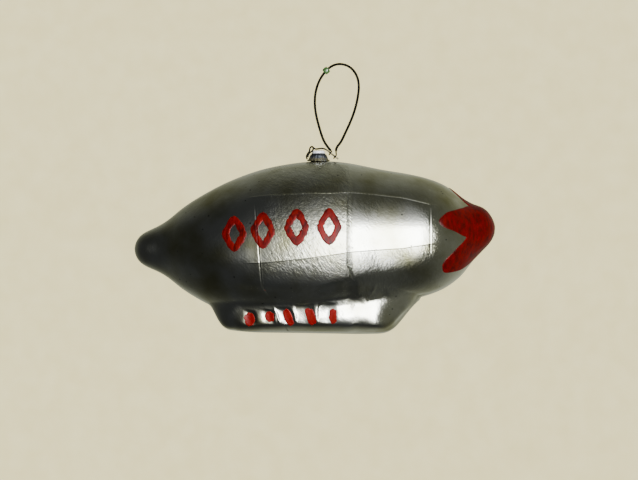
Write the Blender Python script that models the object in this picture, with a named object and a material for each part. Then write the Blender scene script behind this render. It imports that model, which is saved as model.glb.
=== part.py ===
"""A silvered blown-glass tree ornament in the shape of an airship, hanging by its wire loop.

The frame: +X towards the nose, +Z up, origin at the inside top of the wire loop.
Sizes are in metres. The glass is one mould-blown shell with its gondola and its neck. The
tin-plate cap and its bail wire sit on the neck, the wire loop hooks round the bail's arm, and
the red enamel is brushed on in thin patches, each a solid of its own.
"""

import math

import bmesh
import bpy
import numpy as np
from mathutils import Matrix, Vector

MM = 0.001
GAP = 0.3 * MM

# The envelope: distance from the tail tip and radius, in millimetres
SHIP_LENGTH = 100 * MM
TAIL_TIP = Vector((-57.2, 0.0, -51.1)) * MM
ENVELOPE = (
    (0.0, 0.0), (1.5, 3.6), (4.3, 5.35), (7.1, 6.7), (9.85, 8.5), (12.6, 10.8), (17.1, 13.9),
    (23.75, 17.45), (32.6, 20.65), (41.5, 22.3), (50.1, 22.7), (59.9, 21.5), (68.2, 19.4),
    (82.1, 16.2), (86.3, 14.4), (91.8, 9.95), (94.6, 7.4), (97.9, 4.7), (100.0, 0.0),
)
AXIS_RISE = 3.3 * MM
AXIS_RISE_SPAN = (12 * MM, 85 * MM)
NOSE_LIFT = 2.4 * MM
NOSE_LIFT_SPAN = (90 * MM, 98 * MM)
WALL = 1.0 * MM

# The shell's mesh: ring spacing along the ship and at the gondola's ends, and columns in degrees
GONDOLA_ENDS = ((21.0 * MM, 28.0 * MM), (69.5 * MM, 80.0 * MM))
OUTER_RINGS = (2.9 * MM, 1.5 * MM)
OUTER_COLUMNS = (
    0, 12, 27, 42, 57, 72, 87, 102, 114, 126, 134, 139, 143, 147, 150, 153, 157, 163, 171, 180,
)
HOLLOW_RINGS = (4.5 * MM, 2.4 * MM)
HOLLOW_COLUMNS = (0, 20, 40, 60, 80, 100, 120, 135, 143, 150, 158, 180)

# The moulded gores: seams at these angles from the crown, on both sides
GORE_SEAMS = (12, 57, 102, 147)
GORE_FLATNESS = 0.15
GORE_FADE = 14 * MM

# The gondola: distance from the tail tip and depth below the envelope's axis, in millimetres
GONDOLA_DEPTH = (
    (20.5, 13.5), (22.2, 17.6), (24.3, 21.3), (27.5, 23.0), (46.0, 24.8), (67.0, 26.3),
    (72.0, 25.0), (76.5, 19.8), (79.5, 16.5), (82.0, 13.0),
)
GONDOLA_MIDDLE = 50 * MM
GONDOLA_HALF_LENGTH = 29.5 * MM
GONDOLA_HALF_WIDTH = 14.5 * MM
GONDOLA_PLAN_POWER = 2.5
GONDOLA_CORNER_POWER = 12
GONDOLA_FLOOR_RISE = 0.12
GONDOLA_FLOOR_POWER = 4
GONDOLA_FILLET = 2.0 * MM

# The neck and the cap, turned about one upright axis
CAP_X = -6.1 * MM
NECK_RADIUS = 1.9 * MM
NECK_BORE = 1.2 * MM
NECK_HEIGHT = 2.2 * MM
NECK_ROOT = 1.2 * MM
NECK_SEGMENTS = 24
BORE_SEGMENTS = 16
CAP_WALL = 0.25 * MM
CAP_RIM_RADIUS = 2.65 * MM
CAP_SIDE_RADIUS = 2.45 * MM
CAP_TOP_RADIUS = 1.3 * MM
CAP_HEIGHT = 2.95 * MM
CAP_RIM_HEIGHT = 0.35 * MM
CAP_STEPS = 24

# The bail wire over the cap, and the arm that the loop hooks round
BAIL_RADIUS = 0.2 * MM
BAIL_SPACING = 0.45 * MM
BAIL_ROUTE = (
    (-9.2, -26.1), (-9.4, -25.5), (-9.1, -24.6), (-8.6, -23.8), (-8.4, -23.0), (-7.95, -22.6),
    (-7.5, -22.9), (-7.15, -23.2), (-6.0, -23.2), (-4.8, -23.15),
)
ARM_START = Vector((-3.9, 0.0, -23.5)) * MM
ARM_SLOPE = 38
ARM_LENGTH = 4.2 * MM

# The hanging loop: bare core ends curled round the arm, black sleeve on the rest
LOOP_RADIUS = 0.29 * MM
CORE_RADIUS = 0.175 * MM
LOOP_SPACING = 1.0 * MM
EYE_PLACES = (1.45 * MM, 3.1 * MM)
EYE_CLEARANCE = 0.2 * MM
EYE_START = 20
EYE_TURN = 300
EYE_POINTS = 10
LOOP_ROUTE = (
    (-4.15, -21.8), (-5.66, -18.0), (-7.1, -10.8), (-6.33, -5.5), (-4.13, -1.75), (-2.05, -0.1),
    (0.17, 0.29), (2.66, -0.58), (4.75, -3.55), (4.88, -8.55), (3.22, -14.65), (0.95, -19.7),
    (-0.15, -21.7), (-1.05, -23.0),
)
BEAD_PLACE = Vector((-3.92, 0.0, -1.5)) * MM
BEAD_TILT = 50
BEAD_BORE = 0.42 * MM
BEAD_RADIUS = 0.95 * MM
BEAD_HALF_LENGTH = 0.75 * MM
BEAD_SECTION_SEGMENTS = 12
BEAD_STEPS = 16

# The enamel: brushed patches, and where their middles are along X and Z
ENAMEL_THICKNESS = 0.3 * MM
ENAMEL_GAP = 0.2 * MM
DAB_MIDDLES = ((-25.0, -69.8), (-19.5, -69.6), (-14.4, -69.5), (-8.2, -69.3), (-2.2, -69.3))
DAB_SIZE = (2.9 * MM, 3.4 * MM)
LOZENGE_MIDDLES = ((-29.0, -46.9), (-21.2, -46.0), (-12.0, -45.1), (-3.2, -45.0))
LOZENGE_SIZE = (6.8 * MM, 10.0 * MM)
LOZENGE_STROKE = 1.9 * MM
LOZENGE_CUTS = 2
DAB_SEGMENTS = 14

# The nose star's strokes: angle from the crown at root and tip, and the tip's distance from the nose
STAR_RAYS = (
    (2, 2, 19.3 * MM), (63, 73, 22.5 * MM), (119, 125, 22.5 * MM), (241, 235, 22.5 * MM),
    (297, 287, 22.5 * MM),
)
STAR_ROOT = 13.0 * MM
STAR_TIP_HALF_WIDTH = 1.6 * MM
STAR_TIP_ROUNDING = 2.2 * MM
STAR_WIDENING = 0.37
STAR_RINGS = 7
STAR_STEPS = 96

GLASS = ("silvered_glass", (0.62, 0.63, 0.60), 0.08, 1.0)
TIN = ("tinplate", (0.58, 0.57, 0.54), 0.3, 1.0)
BARE_WIRE = ("bare_wire", (0.22, 0.2, 0.17), 0.4, 1.0)
SLEEVED_WIRE = ("black_wire", (0.02, 0.02, 0.02), 0.45, 0.0)
GREEN_GLASS = ("green_bead_glass", (0.02, 0.16, 0.06), 0.15, 0.0)
RED_ENAMEL = ("red_enamel", (0.42, 0.01, 0.01), 0.25, 0.0)


def material(name, colour, roughness, metallic):
    made = bpy.data.materials.get(name)
    if made is None:
        made = bpy.data.materials.new(name)
        made.use_nodes = True
        shader = made.node_tree.nodes["Principled BSDF"]
        shader.inputs["Base Color"].default_value = (*colour, 1)
        shader.inputs["Roughness"].default_value = roughness
        shader.inputs["Metallic"].default_value = metallic
    return made


def add_object(name, mesh, finish):
    obj = bpy.data.objects.new(name, mesh)
    obj.data.materials.append(material(*finish))
    bpy.context.scene.collection.objects.link(obj)
    return obj


def mesh_of(name, bm):
    bmesh.ops.recalc_face_normals(bm, faces=bm.faces)
    mesh = bpy.data.meshes.new(name)
    bm.to_mesh(mesh)
    bm.free()
    mesh.shade_smooth()
    mesh.set_sharp_from_angle(angle=math.radians(35))
    return mesh


def smooth_step(value, low, high):
    t = min(max((value - low) / (high - low), 0.0), 1.0)
    return t * t * (3 - 2 * t)


def spline(places, values, at):
    """A natural cubic spline through the values, read at the given places."""
    x, y = np.asarray(places, float), np.asarray(values, float)
    step = np.diff(x)
    slope = np.diff(y) / step
    system = np.eye(len(x))
    right = np.zeros(len(x))
    for i in range(1, len(x) - 1):
        system[i, i - 1 : i + 2] = step[i - 1], 2 * (step[i - 1] + step[i]), step[i]
        right[i] = 6 * (slope[i] - slope[i - 1])
    bend = np.linalg.solve(system, right)
    i = np.clip(np.searchsorted(x, at) - 1, 0, len(step) - 1)
    h, before, after = step[i], np.asarray(at) - x[i], x[i + 1] - np.asarray(at)
    return (
        (bend[i] * after**3 + bend[i + 1] * before**3) / (6 * h)
        + (y[i] / h - bend[i] * h / 6) * after
        + (y[i + 1] / h - bend[i + 1] * h / 6) * before
    )


def envelope_outline():
    """The half outline from tail tip to nose tip: distance, radius and length along it.

    The points are mirrored past each tip, so that the tips come out round.
    """
    points = np.array(ENVELOPE) * MM
    tail = points[2:0:-1] * (1, -1)
    nose = points[-2:-4:-1] * (1, -1)
    ends = np.concatenate([tail, points, nose])
    along = np.concatenate([[0], np.cumsum(np.hypot(*np.diff(ends, axis=0).T))])
    at = np.linspace(along[2], along[-3], 1200)
    place, radius = spline(along, ends[:, 0], at), spline(along, ends[:, 1], at)
    radius[[0, -1]] = 0.0
    length = np.concatenate([[0], np.cumsum(np.hypot(np.diff(place), np.diff(radius)))])
    return place, radius, length


PLACE, RADIUS, LENGTH = envelope_outline()
DEPTH_AT = np.linspace(GONDOLA_DEPTH[0][0], GONDOLA_DEPTH[-1][0], 400) * MM
DEPTH = spline(*(np.array(GONDOLA_DEPTH).T * MM), DEPTH_AT)


def axis_height(place):
    rise = AXIS_RISE * smooth_step(place, *AXIS_RISE_SPAN)
    return TAIL_TIP.z + rise + NOSE_LIFT * smooth_step(place, *NOSE_LIFT_SPAN)


def gore_flattening(place, angle):
    """How far a gore's middle is drawn in towards the chord between its two seams."""
    turned = abs((math.degrees(angle) + 180) % 360 - 180)
    edges = (-GORE_SEAMS[0], *GORE_SEAMS, 360 - GORE_SEAMS[-1])
    for low, high in zip(edges, edges[1:]):
        if low <= turned <= high:
            half, off = math.radians(high - low) / 2, math.radians(turned - (low + high) / 2)
            fade = smooth_step(min(place, SHIP_LENGTH - place), 0, GORE_FADE)
            return GORE_FLATNESS * fade * (1 - math.cos(half) / math.cos(off))
    return 0.0


def gondola_reach(place, angle):
    """The gondola's own section: a rounded box, hung from the envelope's axis.

    Its floor is bellied, and rises towards the walls by a share of its depth that dies out
    at the two ends.
    """
    across = abs((place - GONDOLA_MIDDLE) / GONDOLA_HALF_LENGTH)
    if across >= 1 or math.cos(angle) > 0:
        return 0.0
    plan = (1 - across**GONDOLA_PLAN_POWER) ** (1 / GONDOLA_PLAN_POWER)
    rise = GONDOLA_FLOOR_RISE * plan**GONDOLA_FLOOR_POWER
    depth = float(np.interp(place, DEPTH_AT, DEPTH))
    sideways = abs(math.sin(angle)) / (GONDOLA_HALF_WIDTH * plan)
    bellied = math.hypot(math.cos(angle), 2 * depth * sideways * math.sqrt(rise))
    down = (bellied - math.cos(angle)) / (2 * depth)
    power = GONDOLA_CORNER_POWER
    return (sideways**power + down**power) ** (-1 / power)


def skin(place, radius, angle):
    """A point on the glass: angle 0 is the crown, 90 degrees the side at -Y."""
    reach = radius * (1 - gore_flattening(place, angle))
    hung = gondola_reach(place, angle)
    if hung:
        blend = max(0.0, 1 - abs(reach - hung) / GONDOLA_FILLET)
        reach = max(reach, hung) + blend**2 * GONDOLA_FILLET / 4
    return Vector(
        (
            TAIL_TIP.x + place,
            -reach * math.sin(angle),
            axis_height(place) + reach * math.cos(angle),
        )
    )


def skin_at(length, angle):
    place = float(np.interp(length, LENGTH, PLACE))
    return skin(place, float(np.interp(length, LENGTH, RADIUS)), angle)


def lifted(length, angle, lift):
    """A point at this height over the glass, along its normal."""
    step, turn = 0.05 * MM, math.radians(0.3)
    along = skin_at(length + step, angle) - skin_at(length - step, angle)
    around = skin_at(length, angle + turn) - skin_at(length, angle - turn)
    return skin_at(length, angle) + lift * around.cross(along).normalized()


def side_point(x, z, lift, side):
    """The point over the glass that shows at x and z in the side view."""
    length = float(np.interp(x - TAIL_TIP.x, PLACE, LENGTH))
    low, high = math.radians(25), math.radians(165)
    for _ in range(40):
        middle = (low + high) / 2
        if skin_at(length, middle).z > z:
            low = middle
        else:
            high = middle
    return lifted(length, side * low, lift)


def ring_lengths(spacing, gondola_end_spacing):
    """Where the shell's rings lie, closer at the gondola's two sloping ends."""
    count = round(LENGTH[-1] / spacing)
    rings = list(np.linspace(0, LENGTH[-1], count + 1)[1:-1])
    for first, last in GONDOLA_ENDS:
        extra = np.arange(first, last, gondola_end_spacing)
        rings += list(np.interp(extra, PLACE, LENGTH))
    rings.sort()
    kept = [rings[0]]
    for ring in rings[1:]:
        if ring - kept[-1] > 0.45 * gondola_end_spacing:
            kept.append(ring)
    return kept


def shell_mesh(name, rings, half_angles, inset):
    """A sphere's mesh, moved ring by ring onto the glass, and drawn in along its normals.

    The sphere's columns start either on the X axis or half a step from it.
    """
    angles = [*half_angles, *(360 - a for a in half_angles[-2:0:-1])]
    lengths = [0.0, *rings, LENGTH[-1]]
    bm = bmesh.new()
    bmesh.ops.create_uvsphere(bm, u_segments=len(angles), v_segments=len(rings) + 1, radius=1)
    for vert in bm.verts:
        ring = round(math.acos(max(-1.0, min(1.0, vert.co.z))) / math.pi * (len(rings) + 1))
        turned = math.atan2(vert.co.y, vert.co.x) / math.tau * len(angles)
        column = math.floor(turned + 0.25) % len(angles)
        vert.co = skin_at(lengths[ring], math.radians(angles[column]))
    bmesh.ops.recalc_face_normals(bm, faces=bm.faces)
    bm.normal_update()
    for vert in bm.verts:
        vert.co -= vert.normal * inset
    return mesh_of(name, bm)


def cylinder_mesh(name, radius, bottom, top, segments):
    bm = bmesh.new()
    bmesh.ops.create_cone(
        bm, cap_ends=True, segments=segments, radius1=radius, radius2=radius, depth=top - bottom
    )
    bmesh.ops.translate(bm, verts=bm.verts, vec=(CAP_X, 0, (top + bottom) / 2))
    return mesh_of(name, bm)


def crown_height():
    return skin_at(float(np.interp(CAP_X - TAIL_TIP.x, PLACE, LENGTH)), 0).z


def add_cutter(target, name, mesh, operation):
    cutter = bpy.data.objects.new(name, mesh)
    cutter.hide_render = True
    cutter.display_type = "WIRE"
    bpy.context.scene.collection.objects.link(cutter)
    cut = target.modifiers.new(name, "BOOLEAN")
    cut.operation = operation
    cut.object = cutter


def add_glass():
    crown = crown_height()
    outer = shell_mesh("glass_body", ring_lengths(*OUTER_RINGS), OUTER_COLUMNS, 0)
    glass = add_object("glass_body", outer, GLASS)
    neck_top = crown + NECK_HEIGHT
    neck = cylinder_mesh("neck", NECK_RADIUS, crown - NECK_ROOT, neck_top, NECK_SEGMENTS)
    add_cutter(glass, "neck", neck, "UNION")
    hollow = shell_mesh("hollow", ring_lengths(*HOLLOW_RINGS), HOLLOW_COLUMNS, WALL)
    add_cutter(glass, "hollow", hollow, "DIFFERENCE")
    bore_bottom, bore_top = crown - 3 * WALL, neck_top + NECK_ROOT
    bore = cylinder_mesh("neck_bore", NECK_BORE, bore_bottom, bore_top, BORE_SEGMENTS)
    add_cutter(glass, "neck_bore", bore, "DIFFERENCE")
    return glass


def add_cap():
    """Pressed tin-plate: a rolled rim, a straight side, a round shoulder and a flat top."""
    rim = crown_height() + GAP
    top = crown_height() + CAP_HEIGHT
    shoulder = CAP_SIDE_RADIUS - CAP_TOP_RADIUS
    outside = [
        (CAP_RIM_RADIUS, rim),
        (CAP_RIM_RADIUS, rim + CAP_RIM_HEIGHT),
        (CAP_SIDE_RADIUS, rim + CAP_RIM_HEIGHT + (CAP_RIM_RADIUS - CAP_SIDE_RADIUS)),
    ]
    outside += [
        (CAP_TOP_RADIUS + shoulder * math.cos(a), top - shoulder + shoulder * math.sin(a))
        for a in np.radians((0, 22.5, 45, 67.5, 90))
    ]
    inner_top, inner = top - CAP_WALL, shoulder - CAP_WALL
    inside = [
        (CAP_TOP_RADIUS + inner * math.cos(a), top - shoulder + inner * math.sin(a))
        for a in np.radians((90, 45, 0))
    ]
    inside.append((CAP_SIDE_RADIUS - CAP_WALL, rim))
    profile = [(0.0, inner_top), *inside, *outside, (0.0, top)]
    bm = bmesh.new()
    verts = [bm.verts.new((r, 0, z)) for r, z in profile]
    edges = [bm.edges.new(pair) for pair in zip(verts, verts[1:])]
    bmesh.ops.spin(
        bm, geom=verts + edges, cent=(0, 0, 0), axis=(0, 0, 1), angle=math.tau, steps=CAP_STEPS,
        use_merge=True,
    )
    bmesh.ops.remove_doubles(bm, verts=bm.verts, dist=0.001 * MM)
    bmesh.ops.translate(bm, verts=bm.verts, vec=(CAP_X, 0, 0))
    return add_object("cap", mesh_of("cap", bm), TIN)


def wire(name, points, radii, finish):
    """A round wire along the points, its radius given at each one."""
    curve = bpy.data.curves.new(name, "CURVE")
    curve.dimensions = "3D"
    curve.bevel_depth = max(radii)
    curve.bevel_resolution = 2
    curve.use_fill_caps = True
    line = curve.splines.new("POLY")
    line.points.add(len(points) - 1)
    for point, place, radius in zip(line.points, points, radii):
        point.co = (*place, 1)
        point.radius = radius / max(radii)
    return add_object(name, curve, finish)


def smooth_route(points, spacing):
    """Evenly spaced points on the smooth curve through the given ones."""
    places = np.array([tuple(p) for p in points])
    along = np.concatenate([[0], np.cumsum(np.linalg.norm(np.diff(places, axis=0), axis=1))])
    at = np.linspace(0, along[-1], max(2, round(along[-1] / spacing)) + 1)
    return [Vector(p) for p in np.stack([spline(along, places[:, i], at) for i in range(3)], axis=1)]


def arm_direction():
    return Vector((math.cos(math.radians(ARM_SLOPE)), 0, -math.sin(math.radians(ARM_SLOPE))))


def add_bail():
    start = ARM_START
    end = start + arm_direction() * ARM_LENGTH
    bent = [Vector((x, 0, z)) * MM for x, z in BAIL_ROUTE]
    points = smooth_route([*bent, start, start + (end - start) / 3], BAIL_SPACING)
    points += [start + (end - start) * share for share in (0.6, 1.0)]
    return wire("bail_wire", points, [BAIL_RADIUS] * len(points), BARE_WIRE)


def eye(place, first, last):
    """The bare core's turn round the arm, from one angle to another."""
    middle = ARM_START + arm_direction() * place
    up = Vector((-arm_direction().z, 0, arm_direction().x))
    reach = BAIL_RADIUS + EYE_CLEARANCE + CORE_RADIUS
    turns = np.radians(np.linspace(first, last, EYE_POINTS))
    return [middle + reach * (up * math.cos(a) + Vector((0, math.sin(a), 0))) for a in turns]


def add_loop():
    strand = [Vector((x, 0, z)) * MM for x, z in LOOP_ROUTE]
    first = eye(EYE_PLACES[0], EYE_START + EYE_TURN, EYE_START)
    last = eye(EYE_PLACES[1], EYE_START, EYE_START + EYE_TURN)
    middle = smooth_route([first[-1], *strand, last[0]], LOOP_SPACING)
    points = first[:-1] + middle + last[1:]
    bare = len(first) + 1
    radii = [CORE_RADIUS] * bare + [LOOP_RADIUS] * (len(points) - 2 * bare) + [CORE_RADIUS] * bare
    return wire("hanging_loop", points, radii, SLEEVED_WIRE)


def add_bead():
    bm = bmesh.new()
    middle, section = (BEAD_RADIUS + BEAD_BORE) / 2, (BEAD_RADIUS - BEAD_BORE) / 2
    upright = Matrix.Rotation(math.pi / 2, 4, "X")
    bmesh.ops.create_circle(bm, segments=BEAD_SECTION_SEGMENTS, radius=section, matrix=upright)
    bmesh.ops.scale(bm, vec=(1, 1, BEAD_HALF_LENGTH / section), verts=bm.verts)
    bmesh.ops.translate(bm, vec=(middle, 0, 0), verts=bm.verts)
    bmesh.ops.spin(
        bm, geom=bm.verts[:] + bm.edges[:], cent=(0, 0, 0), axis=(0, 0, 1), angle=math.tau,
        steps=BEAD_STEPS, use_merge=True,
    )
    bead = add_object("glass_bead", mesh_of("glass_bead", bm), GREEN_GLASS)
    bead.location = BEAD_PLACE
    bead.rotation_euler = (0, math.radians(BEAD_TILT), 0)
    return bead


def thicken(bm, place_on_glass):
    """A flat patch made a closed slab of enamel over the glass."""
    flat = bm.faces[:]
    made = bmesh.ops.extrude_face_region(bm, geom=flat)["geom"]
    raised = {v for v in made if isinstance(v, bmesh.types.BMVert)}
    for vert in bm.verts:
        lift = ENAMEL_GAP + (ENAMEL_THICKNESS if vert in raised else 0)
        vert.co = place_on_glass(vert.co, lift)


def ray_reach(angle, root, tip, length):
    """How far out from the nose one blunt brush stroke covers this angle."""
    out = np.linspace(0.5 * MM, length, 400)
    rounding = np.clip((out - length) / STAR_TIP_ROUNDING + 1, 0, 1)
    half_width = (STAR_TIP_HALF_WIDTH + STAR_WIDENING * (length - out)) * np.sqrt(1 - rounding**2)
    share = np.degrees(half_width / np.interp(LENGTH[-1] - out, LENGTH, RADIUS))
    middle = root + (tip - root) * np.clip((out - STAR_ROOT) / (length - STAR_ROOT), 0, 1)
    off = np.abs((math.degrees(angle) - middle + 180) % 360 - 180)
    return float(out[off <= share].max())


def add_star():
    """A five-rayed star over the nose, from a polar grid wrapped on the glass."""
    bm = bmesh.new()
    rings = [bm.verts.new((i / STAR_RINGS, 0, 0)) for i in range(STAR_RINGS + 1)]
    edges = [bm.edges.new(pair) for pair in zip(rings, rings[1:])]
    bmesh.ops.spin(
        bm, geom=rings + edges, cent=(0, 0, 0), axis=(0, 0, 1), angle=math.tau, steps=STAR_STEPS,
        use_merge=True,
    )
    bmesh.ops.remove_doubles(bm, verts=bm.verts, dist=0.001)

    def on_nose(flat, lift):
        angle = math.atan2(flat.y, flat.x)
        out = flat.length * max(ray_reach(angle, *ray) for ray in STAR_RAYS)
        return lifted(LENGTH[-1] - max(out, 0.06 * MM), angle, lift)

    thicken(bm, on_nose)
    bmesh.ops.remove_doubles(bm, verts=bm.verts, dist=0.02 * MM)
    return add_object("nose_star", mesh_of("nose_star", bm), RED_ENAMEL)


def add_side_patch(name, middle, shape, side):
    """A patch drawn in the side view and laid on the glass, on the near or the far side."""
    bm = bmesh.new()
    shape(bm)

    def on_side(flat, lift):
        return side_point(middle[0] * MM + flat.x, middle[1] * MM + flat.y, lift, side)

    thicken(bm, on_side)
    return add_object(name, mesh_of(name, bm), RED_ENAMEL)


def dab(bm):
    """An upright oval brush dab."""
    bmesh.ops.create_circle(bm, cap_ends=True, segments=DAB_SEGMENTS, radius=0.5)
    bmesh.ops.poke(bm, faces=bm.faces)
    bmesh.ops.scale(bm, vec=(*DAB_SIZE, 1), verts=bm.verts)


def lozenge(bm):
    """A brushed lozenge ring, four strokes that meet at its corners."""
    bmesh.ops.create_circle(bm, cap_ends=True, segments=4, radius=0.5)
    bmesh.ops.scale(bm, vec=(*LOZENGE_SIZE, 1), verts=bm.verts)
    strokes = bmesh.ops.inset_region(
        bm, faces=bm.faces, thickness=LOZENGE_STROKE, use_boundary=True
    )["faces"]
    inside = [face for face in bm.faces if face not in strokes]
    bmesh.ops.delete(bm, geom=inside, context="FACES_ONLY")
    bmesh.ops.subdivide_edges(bm, edges=bm.edges, cuts=LOZENGE_CUTS, use_grid_fill=True)


def add_side_enamel():
    for side, where in ((1, "near"), (-1, "far")):
        for number, middle in enumerate(DAB_MIDDLES, 1):
            add_side_patch(f"window_dab_{where}_{number}", middle, dab, side)
        for number, middle in enumerate(LOZENGE_MIDDLES, 1):
            add_side_patch(f"lozenge_{where}_{number}", middle, lozenge, side)


def main():
    for obj in list(bpy.data.objects):
        bpy.data.objects.remove(obj)
    add_glass()
    add_cap()
    add_bail()
    add_loop()
    add_bead()
    add_star()
    add_side_enamel()


main()
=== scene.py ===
"""A silvered blown-glass tree ornament in the shape of an airship: its finished pieces.

They lie in the ornament's own axes, in metres: +X towards the nose, +Z up, and the origin at
the inside top of the wire loop. The near side is the one at -Y.
"""

import math

import bmesh
import bpy
import numpy as np
from bpy.props import FloatProperty, IntProperty, PointerProperty, StringProperty
from mathutils import Matrix, Vector, noise


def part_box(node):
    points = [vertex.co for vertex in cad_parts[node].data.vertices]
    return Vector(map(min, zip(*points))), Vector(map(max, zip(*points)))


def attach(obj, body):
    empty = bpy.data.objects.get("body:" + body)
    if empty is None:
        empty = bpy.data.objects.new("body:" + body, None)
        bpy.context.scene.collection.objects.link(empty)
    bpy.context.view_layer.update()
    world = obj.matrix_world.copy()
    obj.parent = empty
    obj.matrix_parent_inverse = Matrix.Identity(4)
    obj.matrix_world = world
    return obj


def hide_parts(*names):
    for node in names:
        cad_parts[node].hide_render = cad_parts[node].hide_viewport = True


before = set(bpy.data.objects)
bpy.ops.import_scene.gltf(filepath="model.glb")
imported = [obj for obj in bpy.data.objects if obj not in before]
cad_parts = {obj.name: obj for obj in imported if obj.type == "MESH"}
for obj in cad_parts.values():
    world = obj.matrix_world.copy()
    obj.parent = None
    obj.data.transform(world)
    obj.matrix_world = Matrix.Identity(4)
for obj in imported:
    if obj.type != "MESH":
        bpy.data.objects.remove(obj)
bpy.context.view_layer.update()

bl_info = {
    "name": "Silvered glass airship",
    "version": (1, 0, 0),
    "blender": (4, 5, 0),
    "location": "3D View > Sidebar > Airship",
    "description": "Finished pieces of a blown-glass airship ornament",
    "category": "Object",
}

MM = 0.001
# Points of a mesh that are closer together than this are one
SAME_PLACE = 0.0005 * MM

# The envelope: distance from the tail tip and radius, in millimetres
SHIP_LENGTH = 100 * MM
TAIL_TIP = Vector((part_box("glass_body")[0].x, 0.0, -51.1 * MM))
ENVELOPE = (
    (0.0, 0.0), (1.5, 3.6), (4.3, 5.35), (7.1, 6.7), (9.85, 8.5), (12.6, 10.8), (17.1, 13.9),
    (23.75, 17.45), (32.6, 20.65), (41.5, 22.3), (50.1, 22.7), (59.9, 21.5), (68.2, 19.4),
    (82.1, 16.2), (86.3, 14.4), (91.8, 9.95), (94.6, 7.4), (97.9, 4.7), (100.0, 0.0),
)
# How far the envelope's axis climbs after the tail, and once more at the nose
AXIS_RISE = 3.3 * MM
AXIS_RISE_SPAN = (12 * MM, 85 * MM)
NOSE_LIFT = 2.4 * MM
NOSE_LIFT_SPAN = (90 * MM, 98 * MM)
# How much flatter than round the gores are, and how far from the two tips that starts
GORE_FLATNESS = 0.15
GORE_FADE = 14 * MM

# The moulded net: distance from the tail tip, and angles from the crown in degrees. Each
# frame has its place, how far it leans for each degree below the crown's side and below its
# kink, the kink, the angles it spans, and its share of the full depth
UPPER_SEAM = (
    (32 * MM, 43 * MM, 54 * MM, 60 * MM, 67 * MM, 74 * MM, 82 * MM),
    (49.0, 52.3, 53.7, 52.2, 51.9, 52.6, 56.5),
)
LOWER_SEAM = ((34 * MM, 60 * MM, 74 * MM, 82 * MM), (102.0, 98.0, 98.6, 96.0))
SEAM_SPAN = (31 * MM, 84 * MM)
SEAM_WIDTH = FRAME_WIDTH = 0.16 * MM
# The shell's columns that follow each seam: their angle, and how far beside it others do too
SEAM_COLUMNS = ((55, 22.0), (98, 18.0))
CROWN_GORE_EDGE = 12.0
KEEL_GORE_EDGE = 147.0
FRAMES = (
    (34.8 * MM, 0.03 * MM, 0.15 * MM, 122, 56, 132, 0.8),
    (59.0 * MM, 0.0, 0.13 * MM, 108, 53, 121, 1.0),
    (81.7 * MM, 0.0, 0.0, 108, 57, 106, 0.3),
)

# The gondola: distance from the tail tip and depth below the envelope's axis, in millimetres
GONDOLA_DEPTH = (
    (20.5, 13.5), (22.2, 17.6), (24.3, 21.3), (27.5, 23.0), (46.0, 24.8), (67.0, 26.3),
    (72.0, 25.0), (76.5, 19.8), (79.5, 16.5), (82.0, 13.0),
)
GONDOLA_MIDDLE = 50 * MM
GONDOLA_HALF_LENGTH = 29.5 * MM
GONDOLA_HALF_WIDTH = 14.5 * MM
GONDOLA_PLAN_POWER = 2.5
GONDOLA_CORNER_POWER = 12
GONDOLA_FLOOR_RISE = 0.12
GONDOLA_FLOOR_POWER = 4
GONDOLA_FILLET = 2.0 * MM

# The window panes, in millimetres: first and last X, slant, top, bottom and how far each is dished
PANES = (
    (-26.5, -23.0, 0.1, -67.7, -71.6, 0.5),
    (-21.7, -18.0, 0.1, -67.7, -71.2, 0.45),
    (-17.4, -12.8, 0.35, -67.0, -71.3, 0.42),
    (-12.6, -6.9, 0.2, -66.0, -71.2, 0.4),
    (-6.5, -0.9, 0.05, -65.9, -71.1, 0.4),
)
MULLION_WIDTH = 0.3 * MM
# How far the panes' edges wander, over what length, and the seed of that wandering
PANE_WANDER = 0.35 * MM
PANE_WANDER_SIZE = 2.2 * MM
PANE_WANDER_SEED = 2
WALL_MIDDLE = -69.2 * MM
WALL_HALF_HEIGHT = 2.6 * MM
# Where the wall's relief comes in and goes out: degrees from the crown, and its lean along X
WALL_ANGLES = ((118, 128), (166, 160))
WALL_LEAN_ENDS = ((-30 * MM, -27 * MM), (5 * MM, 2 * MM))
# The dents by the strut: the deepest place of each, how far it spreads left, right, up and
# down, and its share of the full depth
STRUT_DENTS = (
    (9.6 * MM, -64.9 * MM, 12.0 * MM, 14.0 * MM, 1.6 * MM, 4.0 * MM, 1.0),
    (15.4 * MM, -70.4 * MM, 5.2 * MM, 5.0 * MM, 4.2 * MM, 4.5 * MM, 1.5),
)
# Where the upper dent dips under the strut's foot, how wide and how far
STRUT_DIP = (6.4 * MM, 2.7 * MM, 1.4 * MM)
# The hull's swell over the strut: its middle, and how far it spreads along and up
STRUT_SWELL = (10.0 * MM, -58.2 * MM, 6.8 * MM, 3.0 * MM)
# The strut's ridge: its middle, how it leans, and its width and height
STRUT_RIDGE = (8.7 * MM, -62.6 * MM, -0.53, 0.5 * MM, 1.7 * MM)

# The neck and the cap, turned about one upright axis
CAP_LOW, CAP_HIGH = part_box("cap")
CAP_X = (CAP_LOW.x + CAP_HIGH.x) / 2
NECK_RADIUS = 1.9 * MM
NECK_BORE = 1.2 * MM
NECK_HEIGHT = 1.8 * MM
# How far the neck's root spreads into the crown
NECK_ROOT = 0.35 * MM
NECK_STEPS = 48
# The cap's outside, in millimetres: radius and depth below its top
CAP_PROFILE = (
    (1.3, 0.0), (1.58, 0.08), (1.72, 0.28), (1.78, 0.62), (1.95, 0.92), (2.25, 1.2), (2.5, 1.7),
    (2.75, 2.3), (2.98, 2.85),
)
CAP_RIM = 3.2 * MM
CAP_WALL = 0.2 * MM
# The radius of the rim's roll, and its distance from the crown
CAP_ROLL = 0.2 * MM
CAP_CLEARANCE = 0.04 * MM
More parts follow.
